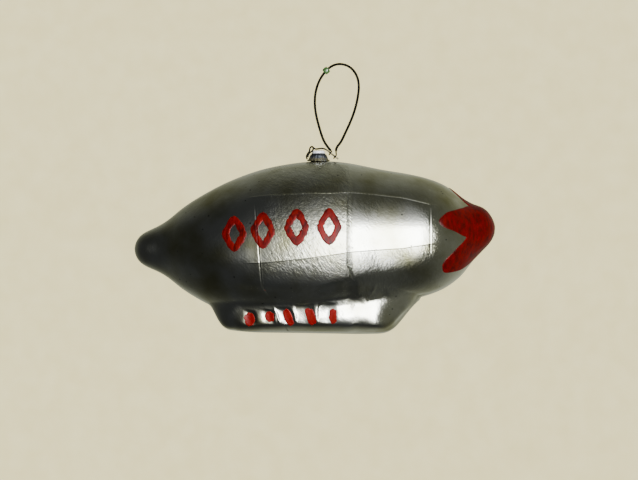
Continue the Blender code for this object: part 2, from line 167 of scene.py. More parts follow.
# The crimps' depth as a share of the radius, and the radii between which they start
CRIMP_SHARE = 0.035
CRIMP_START = (2.0 * MM, 2.6 * MM)

# The bail wire and the loop, by the routes that their solids follow
BAIL_ROUTE = (
    (-9.2, -26.1), (-9.4, -25.5), (-9.1, -24.6), (-8.6, -23.8), (-8.4, -23.0), (-7.95, -22.6),
    (-7.5, -22.9), (-7.15, -23.2), (-6.0, -23.2), (-4.8, -23.15),
)
# The strand that comes back down beside the bail's foot, and the steps sideways of its start
BAIL_RETURN = (
    (-7.89, -22.6), (-7.56, -23.0), (-7.61, -23.5), (-7.95, -23.92), (-8.44, -24.28),
    (-8.78, -24.67), (-8.95, -25.11), (-9.0, -25.6),
)
RETURN_STEPS = 3
RETURN_STEP = 0.12 * MM
ARM_START = Vector((-3.9, 0.0, -23.5)) * MM
ARM_SLOPE = math.radians(38)
ARM_DIRECTION = Vector((math.cos(ARM_SLOPE), 0, -math.sin(ARM_SLOPE)))
ARM_LENGTH = 4.2 * MM
BAIL_RADIUS = 0.23 * MM
LOOP_RADIUS = 0.35 * MM
CORE_RADIUS = 0.19 * MM
EYE_PLACES = (1.45 * MM, 3.1 * MM)
EYE_CLEARANCE = 0.155 * MM
# The two eyes' open ends: the angle from straight up at one, and how far round the wire runs
EYE_START = 20
EYE_TURN = 300
LOOP_ROUTE = (
    (-4.15, -21.8), (-5.66, -18.0), (-7.1, -10.8), (-6.33, -5.5), (-4.13, -1.75), (-2.05, -0.1),
    (0.17, 0.29), (2.66, -0.58), (4.75, -3.55), (4.88, -8.55), (3.22, -14.65), (0.95, -19.7),
    (-0.15, -21.7), (-1.05, -23.0),
)
BEAD_PLACE = Vector((-3.92, 0.0, -1.5)) * MM
BEAD_TILT = math.radians(50)
BEAD_BORE = 0.42 * MM
BEAD_RADIUS = 0.95 * MM
BEAD_HALF_LENGTH = 0.75 * MM
BEAD_ROUNDNESS = 0.8

# The enamel star's rays: angle from the crown at root and tip, and the tip's distance from the nose
STAR_RAYS = (
    (2, 2, 19.3 * MM), (63, 73, 22.5 * MM), (119, 125, 22.5 * MM), (241, 235, 22.5 * MM),
    (297, 287, 22.5 * MM),
)
# Where the rays leave the star's middle, their half width and rounding at the tip, and how
# fast they widen from there
STAR_ROOT = 13.0 * MM
STAR_TIP_HALF_WIDTH = 1.6 * MM
STAR_TIP_ROUNDING = 2.2 * MM
STAR_WIDENING = 0.37
# How far a brushed edge wanders, as a share of the reach or of the stroke
STAR_RAGGEDNESS = 0.05
# The dabs, in millimetres: middle along X and Z, width, height and slant
DABS = (
    (-25.0, -70.2, 2.8, 3.3, 0.1), (-19.5, -69.6, 2.6, 2.8, 0.1), (-14.4, -69.7, 2.5, 4.0, 0.35),
    (-8.2, -69.5, 2.7, 4.1, 0.25), (-2.1, -69.4, 2.2, 3.8, 0.0),
)
DAB_CORNER_POWER = 2.6
DAB_RAGGEDNESS = 0.16
LOZENGE_MIDDLES = ((-29.0, -46.9), (-21.2, -46.0), (-12.0, -45.1), (-3.2, -45.0))
LOZENGE_SIZE = (6.8 * MM, 10.0 * MM)
LOZENGE_STROKE = 0.95 * MM
LOZENGE_CORNER_POWER = 1.22
LOZENGE_RAGGEDNESS = 0.28
# How much closer together a patch's rings are towards its edge, and how far it dips into the glass
DISC_CROWDING = 1.7
FILM_ROOT = 0.15 * MM

# The crinkled silver under the motifs: along which axis, from where, and where it is whole
CRINKLED_PANEL = (
    ("X", -24 * MM, -18 * MM), ("X", 3.5 * MM, 2.0 * MM), ("Z", -61 * MM, -56 * MM),
)

# The photograph's frame: its width in pixels, one pixel at the object, and its middle
PHOTO_WIDTH = 638
PIXEL = 0.2778 * MM
PHOTO_MIDDLE = Vector((-5.94, 0.0, -48.56)) * MM
PAPER_FLOOR = -0.28


def smooth_step(value, low, high):
    share = np.clip((value - low) / (high - low), 0.0, 1.0)
    return share * share * (3 - 2 * share)


def spline(places, values, at):
    """A natural cubic spline through the values, read at the given places."""
    x, y = np.asarray(places, float), np.asarray(values, float)
    step = np.diff(x)
    slope = np.diff(y) / step
    system = np.eye(len(x))
    right = np.zeros(len(x))
    for i in range(1, len(x) - 1):
        system[i, i - 1 : i + 2] = step[i - 1], 2 * (step[i - 1] + step[i]), step[i]
        right[i] = 6 * (slope[i] - slope[i - 1])
    bend = np.linalg.solve(system, right)
    i = np.clip(np.searchsorted(x, at) - 1, 0, len(step) - 1)
    h, before, after = step[i], np.asarray(at) - x[i], x[i + 1] - np.asarray(at)
    return (
        (bend[i] * after**3 + bend[i + 1] * before**3) / (6 * h)
        + (y[i] / h - bend[i] * h / 6) * after
        + (y[i + 1] / h - bend[i + 1] * h / 6) * before
    )


def envelope_outline():
    """The half outline from tail tip to nose tip: distance, radius and length along it.

    The points are mirrored past each tip, so that the tips come out round.
    """
    points = np.array(ENVELOPE) * MM
    tail = points[2:0:-1] * (1, -1)
    nose = points[-2:-4:-1] * (1, -1)
    ends = np.concatenate([tail, points, nose])
    along = np.concatenate([[0], np.cumsum(np.hypot(*np.diff(ends, axis=0).T))])
    at = np.linspace(along[2], along[-3], 4000)
    place, radius = spline(along, ends[:, 0], at), spline(along, ends[:, 1], at)
    radius[[0, -1]] = 0.0
    length = np.concatenate([[0], np.cumsum(np.hypot(np.diff(place), np.diff(radius)))])
    return place, radius, length


PLACE, RADIUS, LENGTH = envelope_outline()
DEPTH_AT = np.linspace(GONDOLA_DEPTH[0][0], GONDOLA_DEPTH[-1][0], 1500) * MM
DEPTH = spline(*(np.array(GONDOLA_DEPTH).T * MM), DEPTH_AT)


def axis_height(place):
    rise = AXIS_RISE * smooth_step(place, *AXIS_RISE_SPAN)
    return TAIL_TIP.z + rise + NOSE_LIFT * smooth_step(place, *NOSE_LIFT_SPAN)


def from_crown(angle):
    """The angle from the crown on either side, 0 to 180 degrees."""
    return np.abs((np.degrees(angle) + 180) % 360 - 180)


def seam_share(place):
    """How clearly the two moulded seams show at this distance from the tail tip."""
    share = smooth_step(place, SEAM_SPAN[0], SEAM_SPAN[0] + 3 * MM)
    return share * smooth_step(place, SEAM_SPAN[1], SEAM_SPAN[1] - 3 * MM)


def gore_flattening(place, angle):
    """How far a gore's middle is drawn in towards the chord between its two seams.

    The gores meet in a crease along the two seams, and run smoothly into each other at the
    crown and the keel.
    """
    turned = from_crown(angle)
    upper, lower = np.interp(place, *UPPER_SEAM), np.interp(place, *LOWER_SEAM)
    edges = (
        (-CROWN_GORE_EDGE, 0), (CROWN_GORE_EDGE, 0), (upper, 1), (lower, 1), (KEEL_GORE_EDGE, 0),
        (360 - KEEL_GORE_EDGE, 0),
    )
    drawn = 0.0
    for (low, low_crease), (high, high_crease) in zip(edges, edges[1:]):
        half = (high - low) / 2
        off = np.clip((turned - (low + high) / 2) / half, -1, 1)
        crease = seam_share(place) * np.where(off < 0, low_crease, high_crease)
        dip = np.cos(off * math.pi / 2) ** 2
        drawn += (1 - np.cos(np.radians(half))) * (dip + crease * (1 - off**2 - dip))
    fade = smooth_step(np.minimum(place, SHIP_LENGTH - place), 0, GORE_FADE)
    return GORE_FLATNESS * fade * drawn


def gondola_reach(place, angle):
    """The gondola's own section: a rounded box, hung from the envelope's axis.

    Its floor is bellied, and rises towards the walls by a share of its depth that dies out
    at the two ends.
    """
    across = np.abs((place - GONDOLA_MIDDLE) / GONDOLA_HALF_LENGTH)
    plan = np.clip(1 - across**GONDOLA_PLAN_POWER, 1e-6, 1) ** (1 / GONDOLA_PLAN_POWER)
    depth = np.interp(place, DEPTH_AT, DEPTH)
    rise = GONDOLA_FLOOR_RISE * plan**GONDOLA_FLOOR_POWER
    sideways = np.abs(np.sin(angle)) / (GONDOLA_HALF_WIDTH * plan)
    bellied = np.hypot(np.cos(angle), 2 * depth * sideways * np.sqrt(rise))
    down = (bellied - np.cos(angle)) / (2 * depth)
    reach = (sideways**GONDOLA_CORNER_POWER + down**GONDOLA_CORNER_POWER) ** (-1 / GONDOLA_CORNER_POWER)
    return np.where((across < 1) & (np.cos(angle) < 0), reach, 0.0)


def skin(length, angle):
    """Points on the plain form: angle 0 is the crown, 90 degrees the side at -Y."""
    place, radius = np.interp(length, LENGTH, PLACE), np.interp(length, LENGTH, RADIUS)
    reach = radius * (1 - gore_flattening(place, angle))
    hung = gondola_reach(place, angle)
    blend = np.where(hung > 0, np.clip(1 - np.abs(reach - hung) / GONDOLA_FILLET, 0, 1), 0.0)
    reach = np.maximum(reach, hung) + blend**2 * GONDOLA_FILLET / 4
    return np.stack(
        [
            TAIL_TIP.x + place,
            -reach * np.sin(angle),
            axis_height(place) + reach * np.cos(angle),
        ],
        axis=-1,
    )


def skin_normal(length, angle):
    step, turn = 0.12 * MM, math.radians(0.3)
    along = skin(length + step, angle) - skin(length - step, angle)
    around = skin(length, angle + turn) - skin(length, angle - turn)
    normal = np.cross(around, along)
    return normal / np.maximum(np.linalg.norm(normal, axis=-1, keepdims=True), 1e-12)


def bump(off, width):
    return np.exp(-((off / width) ** 2))


def frame_shift(turned, lean, kick, kink):
    """How far forward a frame has run at this angle: it leans, and bends at its kink."""
    return lean * (turned - 90) + kick * np.maximum(turned - kink, 0)


def moulded_net(place, radius, turned, glass):
    """The raised seams along the hull and the pressed frames across it."""
    lift = 0.0
    for seam in (UPPER_SEAM, LOWER_SEAM):
        off = np.radians(turned - np.interp(place, *seam)) * radius
        lift += glass.seam_height * seam_share(place) * bump(off, SEAM_WIDTH)
    for middle, *bends, first, last, share in FRAMES:
        off = place - middle - frame_shift(turned, *bends)
        along = smooth_step(turned, first, first + 6) * smooth_step(turned, last, last - 6)
        # The glass is pushed up into a low lip beside the pressed line
        lip = 0.4 * bump(off - 1.8 * FRAME_WIDTH, FRAME_WIDTH)
        lift += share * glass.frame_depth * along * (lip - bump(off, FRAME_WIDTH))
    return lift


def gondola_relief(points, turned, glass):
    """The dished window panes with their mullions, and the dents and the ridge of the strut."""
    noise.seed_set(PANE_WANDER_SEED)
    wander = np.array([noise.noise_vector(Vector(p) / PANE_WANDER_SIZE)[:] for p in points.reshape(-1, 3)])
    wander = PANE_WANDER * wander.reshape(points.shape)
    x, z = points[..., 0] + wander[..., 0], points[..., 2] + wander[..., 2]
    on_wall = smooth_step(turned, *WALL_ANGLES[0]) * smooth_step(turned, *WALL_ANGLES[1])
    lift = 0.0
    for first, last, slant, top, bottom, dished in PANES:
        half, middle = (last - first) / 2 * MM, (top + bottom) / 2 * MM
        u = (x - (first + last) / 2 * MM - slant * (middle - z)) / half
        v = (z - middle) / ((top - bottom) / 2 * MM)
        dish = np.clip(1 - u**2, 0, 1) * np.clip(1 - v**4, 0, 1)
        beside = bump((np.abs(u) - 1) * half, MULLION_WIDTH) * np.clip(1.2 - v**4, 0, 1)
        lift += glass.mullion_height * beside - glass.pane_share * dished * MM * dish
    leaning = np.clip(WALL_MIDDLE - z, -WALL_HALF_HEIGHT, WALL_HALF_HEIGHT)
    along = smooth_step(x, *WALL_LEAN_ENDS[0]) * smooth_step(x, *WALL_LEAN_ENDS[1])
    lift += glass.wall_lean * leaning * along
    foot_x, foot_width, foot_depth = STRUT_DIP
    dip = foot_depth * bump(x - foot_x, foot_width)
    for dent_x, dent_z, left, right, up, down, share in STRUT_DENTS:
        off = z - dent_z + dip
        sideways = bump(x - dent_x, np.where(x < dent_x, left, right))
        lift -= share * glass.dent_depth * sideways * bump(off, np.where(off > 0, up, down))
    ridge_x, ridge_z, lean, width, height = STRUT_RIDGE
    ridge = bump(x - ridge_x + lean * (z - ridge_z), width) * bump(z - ridge_z, height)
    lift += glass.ridge_height * ridge
    swell_x, swell_z, width, height = STRUT_SWELL
    swell = bump(points[..., 0] - swell_x, width) * bump(points[..., 2] - swell_z, height)
    return on_wall * lift + glass.swell_height * swell


def wobble(points, glass):
    """The slow unevenness of glass blown into a mould."""
    waves = [
        noise.noise(Vector(p) / (16 * MM)) + 0.3 * noise.noise(Vector(p) / (6 * MM))
        for p in points.reshape(-1, 3)
    ]
    return np.array(waves).reshape(points.shape[:-1]) * glass.wobble


def on_glass(length, angle, lift, glass):
    """Points at this height over the finished glass."""
    points, normal = skin(length, angle), skin_normal(length, angle)
    place, radius = np.interp(length, LENGTH, PLACE), np.interp(length, LENGTH, RADIUS)
    turned = from_crown(angle)
    lift = lift + moulded_net(place, radius, turned, glass)
    lift = lift + gondola_relief(points, turned, glass) + wobble(points, glass)
    return points + normal * lift[..., None]


def side_view(x, z, side):
    """The length and angle of the points that show at x and z in the side view."""
    length = np.interp(x - TAIL_TIP.x, PLACE, LENGTH)
    low, high = np.full_like(x, math.radians(25)), np.full_like(x, math.radians(165))
    for _ in range(30):
        middle = (low + high) / 2
        above = skin(length, middle)[..., 2] > z
        low, high = np.where(above, middle, low), np.where(above, high, middle)
    return length, side * low


def crowded(start, stop, spacing, crowds):
    """Places from start to stop at this spacing, closer together in each crowd."""
    at = np.linspace(start, stop, 6000)
    density = np.full_like(at, 1 / spacing)
    for low, high, fine in crowds:
        density[(at >= low) & (at <= high)] = 1 / fine
    total = np.concatenate([[0], np.cumsum((density[1:] + density[:-1]) / 2 * np.diff(at))])
    return np.interp(np.linspace(0, total[-1], round(total[-1]) + 1), total, at)


def shell_rings(spacing):
    """Lengths of the shell's rings, crowded at the frames, the panes, the neck and the tips."""
    def span(first, last, fine):
        return (*np.interp((first, last), PLACE, LENGTH), fine)

    neck = CAP_X - TAIL_TIP.x
    crowds = [span(29 * MM, 76 * MM, 0.34 * MM), span(neck - 3 * MM, neck + 3 * MM, 0.28 * MM)]
    crowds += [span(76 * MM, 82 * MM, 0.5 * MM), span(20 * MM, 29 * MM, 0.5 * MM)]
    crowds += [span(middle - 0.9 * MM, middle + 0.9 * MM, 0.12 * MM) for middle, *_ in FRAMES]
    crowds += [(0, 4 * MM, 0.35 * MM), (LENGTH[-1] - 4 * MM, LENGTH[-1], 0.35 * MM)]
    return crowded(0, LENGTH[-1], spacing, crowds)


def shell_columns(spacing):
    """Angles of the shell's columns, crowded at the seams, the crown and the gondola's wall."""
    crowds = [(0, 9, 1.2), (53.2, 56.8, 0.32), (96.2, 99.8, 0.32), (134, 158, 0.55), (158, 172, 1.4)]
    half = crowded(0, 180, spacing, crowds)
    return np.radians(np.concatenate([half, 360 - half[-2:0:-1]]))


def follow_net(length, angle):
    """Moves the shell's rings and columns on to the leaning frames and the drifting seams."""
    place, turned = np.interp(length, LENGTH, PLACE), from_crown(angle)
    for middle, *bends, _, _, _ in FRAMES:
        place = place + frame_shift(turned, *bends) * bump(place - middle, 5 * MM)
    share = smooth_step(np.minimum(place, SHIP_LENGTH - place), 5 * MM, 25 * MM)
    moved = turned
    for seam, (column, spread) in zip((UPPER_SEAM, LOWER_SEAM), SEAM_COLUMNS):
        moved = moved + share * (np.interp(place, *seam) - column) * bump(turned - column, spread)
    side = np.where((np.degrees(angle) + 180) % 360 - 180 < 0, -1, 1)
    return np.interp(place, PLACE, LENGTH), side * np.radians(moved)


def mesh_object(name, bm, finish):
    """A smooth object in the scene, made of the bmesh in its finish."""
    mesh = bpy.data.meshes.new(name)
    bm.to_mesh(mesh)
    bm.free()
    mesh.shade_smooth()
    mesh.materials.append(finish)
    obj = bpy.data.objects.new(name, mesh)
    bpy.context.scene.collection.objects.link(obj)
    return obj


def add_object(name, bm, finish, body, slot, *nodes):
    """A finished piece: its mesh, its finish, the body it rides on and what it stands for."""
    bmesh.ops.recalc_face_normals(bm, faces=bm.faces)
    obj = mesh_object(name, bm, finish)
    obj.data.set_sharp_from_angle(angle=math.radians(50))
    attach(obj, body)
    if nodes:
        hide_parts(*nodes)
    return obj


def move_to(bm, points):
    """Moves the points of a bmesh, in their order, to these places."""
    for vert, point in zip(bm.verts, points):
        vert.co = point
    return bm


def take_mesh(bm, mesh):
    """Moves a mesh into the bmesh."""
    bm.from_mesh(mesh)
    bpy.data.meshes.remove(mesh)


def sphere_shell(rings, columns, glass):
    """A sphere's mesh moved on to the finished glass, ring by ring and column by column."""
    bm = bmesh.new()
    last = len(rings) - 1
    bmesh.ops.create_uvsphere(bm, u_segments=len(columns), v_segments=last, radius=1)
    ball = np.array([vert.co[:] for vert in bm.verts])
    ring = np.rint(np.arccos(np.clip(ball[:, 2], -1, 1)) / math.pi * last).astype(int)
    turned = np.arctan2(ball[:, 1], ball[:, 0]) / math.tau * len(columns)
    # The columns start on the X axis or half a step from it, and a quarter step more suits both
    column = np.floor(turned + 0.25).astype(int) % len(columns)
    length, angle = follow_net(rings[ring], columns[column])
    return move_to(bm, on_glass(length, angle, np.zeros(len(ball)), glass))


def crown_height():
    return skin(np.interp(CAP_X - TAIL_TIP.x, PLACE, LENGTH), 0.0)[2]


def spun(profile, steps):
    """A bmesh turned from radius and height about the upright axis."""
    bm = bmesh.new()
    verts = [bm.verts.new((radius, 0, height)) for radius, height in profile]
    edges = [bm.edges.new(pair) for pair in zip(verts, verts[1:])]
    bmesh.ops.spin(
        bm, geom=verts + edges, cent=(0, 0, 0), axis=(0, 0, 1), angle=math.tau, steps=steps,
        use_merge=True,
    )
    bmesh.ops.remove_doubles(bm, verts=bm.verts, dist=SAME_PLACE)
    return bm


def flat_disc(rings, spokes):
    """A flat disc of radius 1, its rings closer together towards the edge."""
    return spun([(1 - (1 - i / rings) ** DISC_CROWDING, 0) for i in range(rings + 1)], spokes)


def flat_ring(across, spokes):
    """A flat ring from radius 1 to 2."""
    return spun([(1 + i / across, 0) for i in range(across + 1)], spokes)


def open_neck(bm):
    """Cuts the crown open under the cap and draws the neck up from the cut.

    The neck runs up its outside, over a rolled lip and down its bore to a closed floor.
    """
    crown, hole = crown_height(), NECK_RADIUS + NECK_ROOT
    axis = Vector((CAP_X, 0))

    def off_axis(point):
        return (point.xy - axis).length

    under = [
        face for face in bm.faces
        if off_axis(face.calc_center_median()) < hole and face.calc_center_median().z > crown - 2 * MM
    ]
    bmesh.ops.delete(bm, geom=under, context="FACES")
    rim = [edge for edge in bm.edges if edge.is_boundary]
    for vert in {vert for edge in rim for vert in edge.verts}:
        moved = axis + (vert.co.xy - axis).normalized() * hole
        vert.co = (*moved, vert.co.z)
    top = crown + NECK_HEIGHT
    lip = (NECK_RADIUS - NECK_BORE) / 2
    profile = [(NECK_RADIUS + 0.14 * MM, crown + 0.12 * MM), (NECK_RADIUS, crown + 0.45 * MM)]
    profile += [
        (NECK_RADIUS - lip + lip * math.cos(a), top - lip / 2 + lip / 2 * math.sin(a))
        for a in np.radians(np.linspace(0, 180, 9))
    ]
    profile += [(NECK_BORE, crown - 1.5 * MM), (0.8 * NECK_BORE, crown - 2.2 * MM), (0, crown - 2.4 * MM)]
    neck = spun(profile, NECK_STEPS)
    bmesh.ops.translate(neck, verts=neck.verts, vec=(CAP_X, 0, 0))
    mesh = bpy.data.meshes.new("neck")
    neck.to_mesh(mesh)
    neck.free()
    take_mesh(bm, mesh)
    bmesh.ops.bridge_loops(bm, edges=[edge for edge in bm.edges if edge.is_boundary])


def hex_colour(text):
    """An sRGB hex colour as linear red, green, blue and full alpha."""
    shares = [int(text[i : i + 2], 16) / 255 for i in (1, 3, 5)]
    linear = [s / 12.92 if s <= 0.04045 else ((s + 0.055) / 1.055) ** 2.4 for s in shares]
    return (*linear, 1.0)


def per_metre(millimetres):
    """The texture scale whose features are this many millimetres across."""
    return 1 / (millimetres * MM)


def fill(tree, node, inputs):
    """Links each socket to an output, or sets it to a value or to a hex colour."""
    for socket, value in inputs.items():
        if isinstance(value, bpy.types.NodeSocket):
            tree.links.new(value, node.inputs[socket])
        else:
            node.inputs[socket].default_value = hex_colour(value) if isinstance(value, str) else value


def add(tree, kind, inputs=None, out=0, **settings):
    """Adds a shader node with its settings and inputs, and gives one of its outputs."""
    made = tree.nodes.new("ShaderNode" + kind)
    for name, value in settings.items():
        setattr(made, name, value)
    fill(tree, made, inputs or {})
    return made.outputs[out]


def new_finish(name):
    """An empty material: its node tree, its shader and the Object coordinates."""
    made = bpy.data.materials.new(name)
    made.use_nodes = True
    tree = made.node_tree
    return made, tree, tree.nodes["Principled BSDF"], add(tree, "TexCoord", out="Object")


def silvered_glass(glass):
    """Blown soda glass, silvered inside and then left to tarnish.

    The silver mirrors its surroundings through slightly wavy glass. It has gone olive in
    clouds, its flaked pinholes are dark, and on the panel under the motifs the silver is
    crinkled, so that the panel glitters instead of mirroring.
    """
    made, tree, shader, place = new_finish("tarnished_silvered_glass")
    # Clouds of tarnish 11 mm across, and a flake of silver in every 3.1 mm
    clouds = add(tree, "TexNoise", {"Vector": place, "Scale": per_metre(11), "Detail": 4.0})
    tarnished = add(tree, "MapRange", {"Value": clouds, "From Min": 0.38, "From Max": 0.68})
    tint = add(tree, "Mix", {0: tarnished, 6: glass.silver, 7: glass.tarnish}, out=2, data_type="RGBA")
    flakes = add(tree, "TexVoronoi", {"Vector": place, "Scale": per_metre(3.1)}, feature="F1")
    pinhole = add(
        tree, "MapRange",
        {"Value": flakes, "From Min": 0.05, "From Max": 0.085, "To Min": 0.9, "To Max": 0.0},
    )
    dull = add(
        tree, "MapRange",
        {"Value": clouds, "From Min": 0.3, "From Max": 0.7, "To Min": 0.09, "To Max": 0.15},
    )

    axes = add(tree, "SeparateXYZ", {"Vector": place}).node
    panel = 1.0
    for axis, start, whole in CRINKLED_PANEL:
        inside = add(
            tree, "MapRange", {"Value": axes.outputs[axis], "From Min": start, "From Max": whole},
            interpolation_type="SMOOTHSTEP",
        )
        panel = add(tree, "Math", {0: panel, 1: inside}, operation="MULTIPLY")
    # Crinkles 0.8 mm apart, drawn out along a slant. The grain between them is a tenth of that
    # on the real glass, and is drawn 0.6 mm wide, as coarse as it needs to show
    turned = add(tree, "Mapping", {"Vector": place, "Rotation": (0, math.radians(38), 0)})
    stretched = add(tree, "Mapping", {"Vector": turned, "Scale": (1, 0.6, 0.45)})
    crinkle = add(
        tree, "TexNoise",
        {"Vector": stretched, "Scale": per_metre(0.8), "Detail": 3.0, "Roughness": 0.72},
    )
    grain = add(tree, "TexNoise", {"Vector": place, "Scale": per_metre(0.6), "Detail": 2.0})
    faint = add(tree, "Math", {0: grain, 1: 0.14}, operation="MULTIPLY")
    share = add(tree, "MapRange", {"Value": panel, "To Min": 0.2, "To Max": 1.0})
    height = add(tree, "Math", {0: crinkle, 1: share, 2: faint}, operation="MULTIPLY_ADD")
    fill(tree, shader, {
        "Base Color": add(tree, "Mix", {0: pinhole, 6: tint, 7: glass.flaked}, out=2, data_type="RGBA"),
        "Metallic": 1.0,
        "Roughness": add(tree, "Math", {0: panel, 1: 0.08, 2: dull}, operation="MULTIPLY_ADD"),
        "Coat Weight": 0.3,
        "Coat Roughness": 0.1,
        "Normal": add(tree, "Bump", {"Height": height, "Strength": 1.0, "Distance": 0.15 * MM}),
    })
    return made


def brushed_enamel(name, colours):
    """Oil enamel laid on by brush: glossy, streaked, and thin enough to let silver shine."""
    made, tree, shader, place = new_finish(name)
    # A brush's hairs leave streaks 0.2 mm apart: they are drawn 0.9 mm wide, so that they show
    drawn_out = add(tree, "Mapping", {"Vector": place, "Scale": (1, 1, 0.35)})
    streaks = add(
        tree, "TexNoise",
        {"Vector": drawn_out, "Scale": per_metre(0.9), "Detail": 4.0, "Roughness": 0.6},
    )
    thin = add(tree, "MapRange", {"Value": streaks, "From Min": 0.35, "From Max": 0.7})
    rough = add(
        tree, "MapRange",
        {"Value": streaks, "From Min": 0.3, "From Max": 0.7, "To Min": 0.3, "To Max": 0.45},
    )
    fill(tree, shader, {
        "Base Color": add(
            tree, "Mix", {0: thin, 6: colours[0], 7: colours[1]}, out=2, data_type="RGBA"
        ),
        "Metallic": add(tree, "Math", {0: thin, 1: 0.3}, operation="MULTIPLY"),
        "Roughness": rough,
        "Specular IOR Level": 0.15,
        "Normal": add(tree, "Bump", {"Height": streaks, "Strength": 0.6, "Distance": 0.05 * MM}),
    })
    return made


def pressed_tinplate(hanger):
    """Pressed tin-plate: dull on its skirt, with a highlight painted white on its top, browner towards its
    rim.
    """
    made, tree, shader, place = new_finish("pressed_tinplate")
    z = add(tree, "SeparateXYZ", {"Vector": place}, out="Z")
    # Specks of rust a few tenths of a millimetre wide, drawn 1.1 mm wide so that they show
    spots = add(tree, "TexNoise", {"Vector": place, "Scale": per_metre(1.1), "Detail": 4.0})
    # The specks crowd towards the bottom, so the cap is browner towards its rim
    low = add(
        tree, "MapRange",
        {"Value": z, "From Min": CAP_LOW.z + 1.3 * MM, "From Max": CAP_LOW.z, "To Max": 0.35},
    )
    rusty = add(tree, "Math", {0: spots, 1: low}, operation="ADD")
    rust = add(tree, "MapRange", {"Value": rusty, "From Min": 0.62, "From Max": 0.8})
    # A highlight is painted white on the cap's top, fading in from 0.85 mm to 0.65 mm below it
    painted_highlight = add(
        tree, "MapRange",
        {"Value": z, "From Min": CAP_HIGH.z - 0.85 * MM, "From Max": CAP_HIGH.z - 0.65 * MM},
    )
    # The bare tin, with the highlight painted white over its top; the tin is less metallic there and where
    # it rusts
    bare = add(tree, "Mix", {0: painted_highlight, 6: hanger.tin, 7: hanger.painted_highlight}, out=2, data_type="RGBA")
    dull = add(tree, "Math", {0: rust, 1: painted_highlight}, operation="MAXIMUM")
    fill(tree, shader, {
        "Base Color": add(tree, "Mix", {0: rust, 6: bare, 7: hanger.rust}, out=2, data_type="RGBA"),
        "Metallic": add(tree, "MapRange", {"Value": dull, "To Min": 1.0, "To Max": 0.2}),
        "Roughness": add(tree, "MapRange", {"Value": rusty, "To Min": 0.25, "To Max": 0.55}),
        "Normal": add(tree, "Bump", {"Height": spots, "Strength": 0.5, "Distance": 0.05 * MM}),
    })
    return made


def drawn_wire(name, hanger, bare_from):
    """Drawn steel wire: dark, nearly matt oxide, and rubbed bare on the +X side of one place."""
    made, tree, shader, place = new_finish(name)
    x = add(tree, "SeparateXYZ", {"Vector": place}, out="X")
    bare = add(
        tree, "MapRange",
        {"Value": x, "From Min": bare_from - 0.6 * MM, "From Max": bare_from + 0.6 * MM},
    )
    # The rubbed patches are 0.7 mm long, three times the wire's own radius
    patches = add(tree, "TexNoise", {"Vector": place, "Scale": per_metre(0.7), "Detail": 3.0})
    worn = add(tree, "MapRange", {"Value": patches, "From Min": 0.3, "From Max": 0.55})
    rubbed = add(tree, "Math", {0: worn, 1: bare}, operation="MULTIPLY")
    fill(tree, shader, {
        "Base Color": add(
            tree, "Mix", {0: rubbed, 6: hanger.oxide, 7: hanger.wire}, out=2, data_type="RGBA"
        ),
        "Metallic": rubbed,
        "Roughness": add(tree, "MapRange", {"Value": patches, "To Min": 0.25, "To Max": 0.5}),
        "Specular IOR Level": 0.05,
        "Normal": add(tree, "Bump", {"Height": patches, "Strength": 0.4, "Distance": 0.02 * MM}),
    })
    return made


def black_sleeve(hanger):
    """Soft black plastic drawn over the wire: matt, with dust in patches."""
    made, tree, shader, place = new_finish("black_plastic_sleeve")
    # Grains of dust are too fine to show, so they are drawn as patches 1.3 mm wide
    dust = add(tree, "TexNoise", {"Vector": place, "Scale": per_metre(1.3), "Detail": 5.0})
    dusty = add(tree, "MapRange", {"Value": dust, "From Min": 0.5, "From Max": 0.9})
    fill(tree, shader, {
        "Base Color": add(
            tree, "Mix", {0: dusty, 6: hanger.sleeve, 7: hanger.dust}, out=2, data_type="RGBA"
        ),
        "Roughness": add(tree, "MapRange", {"Value": dust, "To Min": 0.55, "To Max": 0.8}),
        "Specular IOR Level": 0.02,
        "Normal": add(tree, "Bump", {"Height": dust, "Strength": 0.3, "Distance": 0.03 * MM}),
    })
    return made


def bead_glass(hanger):
    """Drawn green seed-bead glass, with threads of a lighter green in its body."""
    made, tree, shader, place = new_finish("green_bead_glass")
    # The threads are 0.1 mm thick: they are drawn 0.5 mm wide, so that they show
    threads = add(tree, "TexNoise", {"Vector": place, "Scale": per_metre(0.5), "Detail": 2.0})
    fill(tree, shader, {
        "Base Color": add(
            tree, "Mix", {0: threads, 6: hanger.bead, 7: hanger.thread}, out=2, data_type="RGBA"
        ),
        "Roughness": add(tree, "MapRange", {"Value": threads, "To Min": 0.05, "To Max": 0.12}),
        "IOR": 1.52,
        "Transmission Weight": 0.4,
        "Coat Weight": 0.6,
    })
    return made


def studio_paper(stage):
    """Uncoated wove paper, rolled up behind: pale, and mottled by its fibres."""
    made, tree, shader, place = new_finish("uncoated_wove_paper")
    # Single fibres are too fine to show so far off, so they are drawn as tufts 14 mm wide
    fibres = add(tree, "TexNoise", {"Vector": place, "Scale": per_metre(14), "Detail": 6.0})
    mottle = add(tree, "MapRange", {"Value": fibres, "From Min": 0.3, "From Max": 0.7})
    tint = add(tree, "Mix", {0: mottle, 6: stage.paper, 7: stage.fibre}, out=2, data_type="RGBA")
    fill(tree, shader, {
        "Base Color": add(tree, "VectorMath", {0: tint, "Scale": 0.15}, operation="SCALE"),
        "Emission Color": tint,
        "Emission Strength": stage.paper_glow,
        "Roughness": 0.95,
        "Normal": add(tree, "Bump", {"Height": fibres, "Strength": 0.2, "Distance": 1 * MM}),
    })
    return made


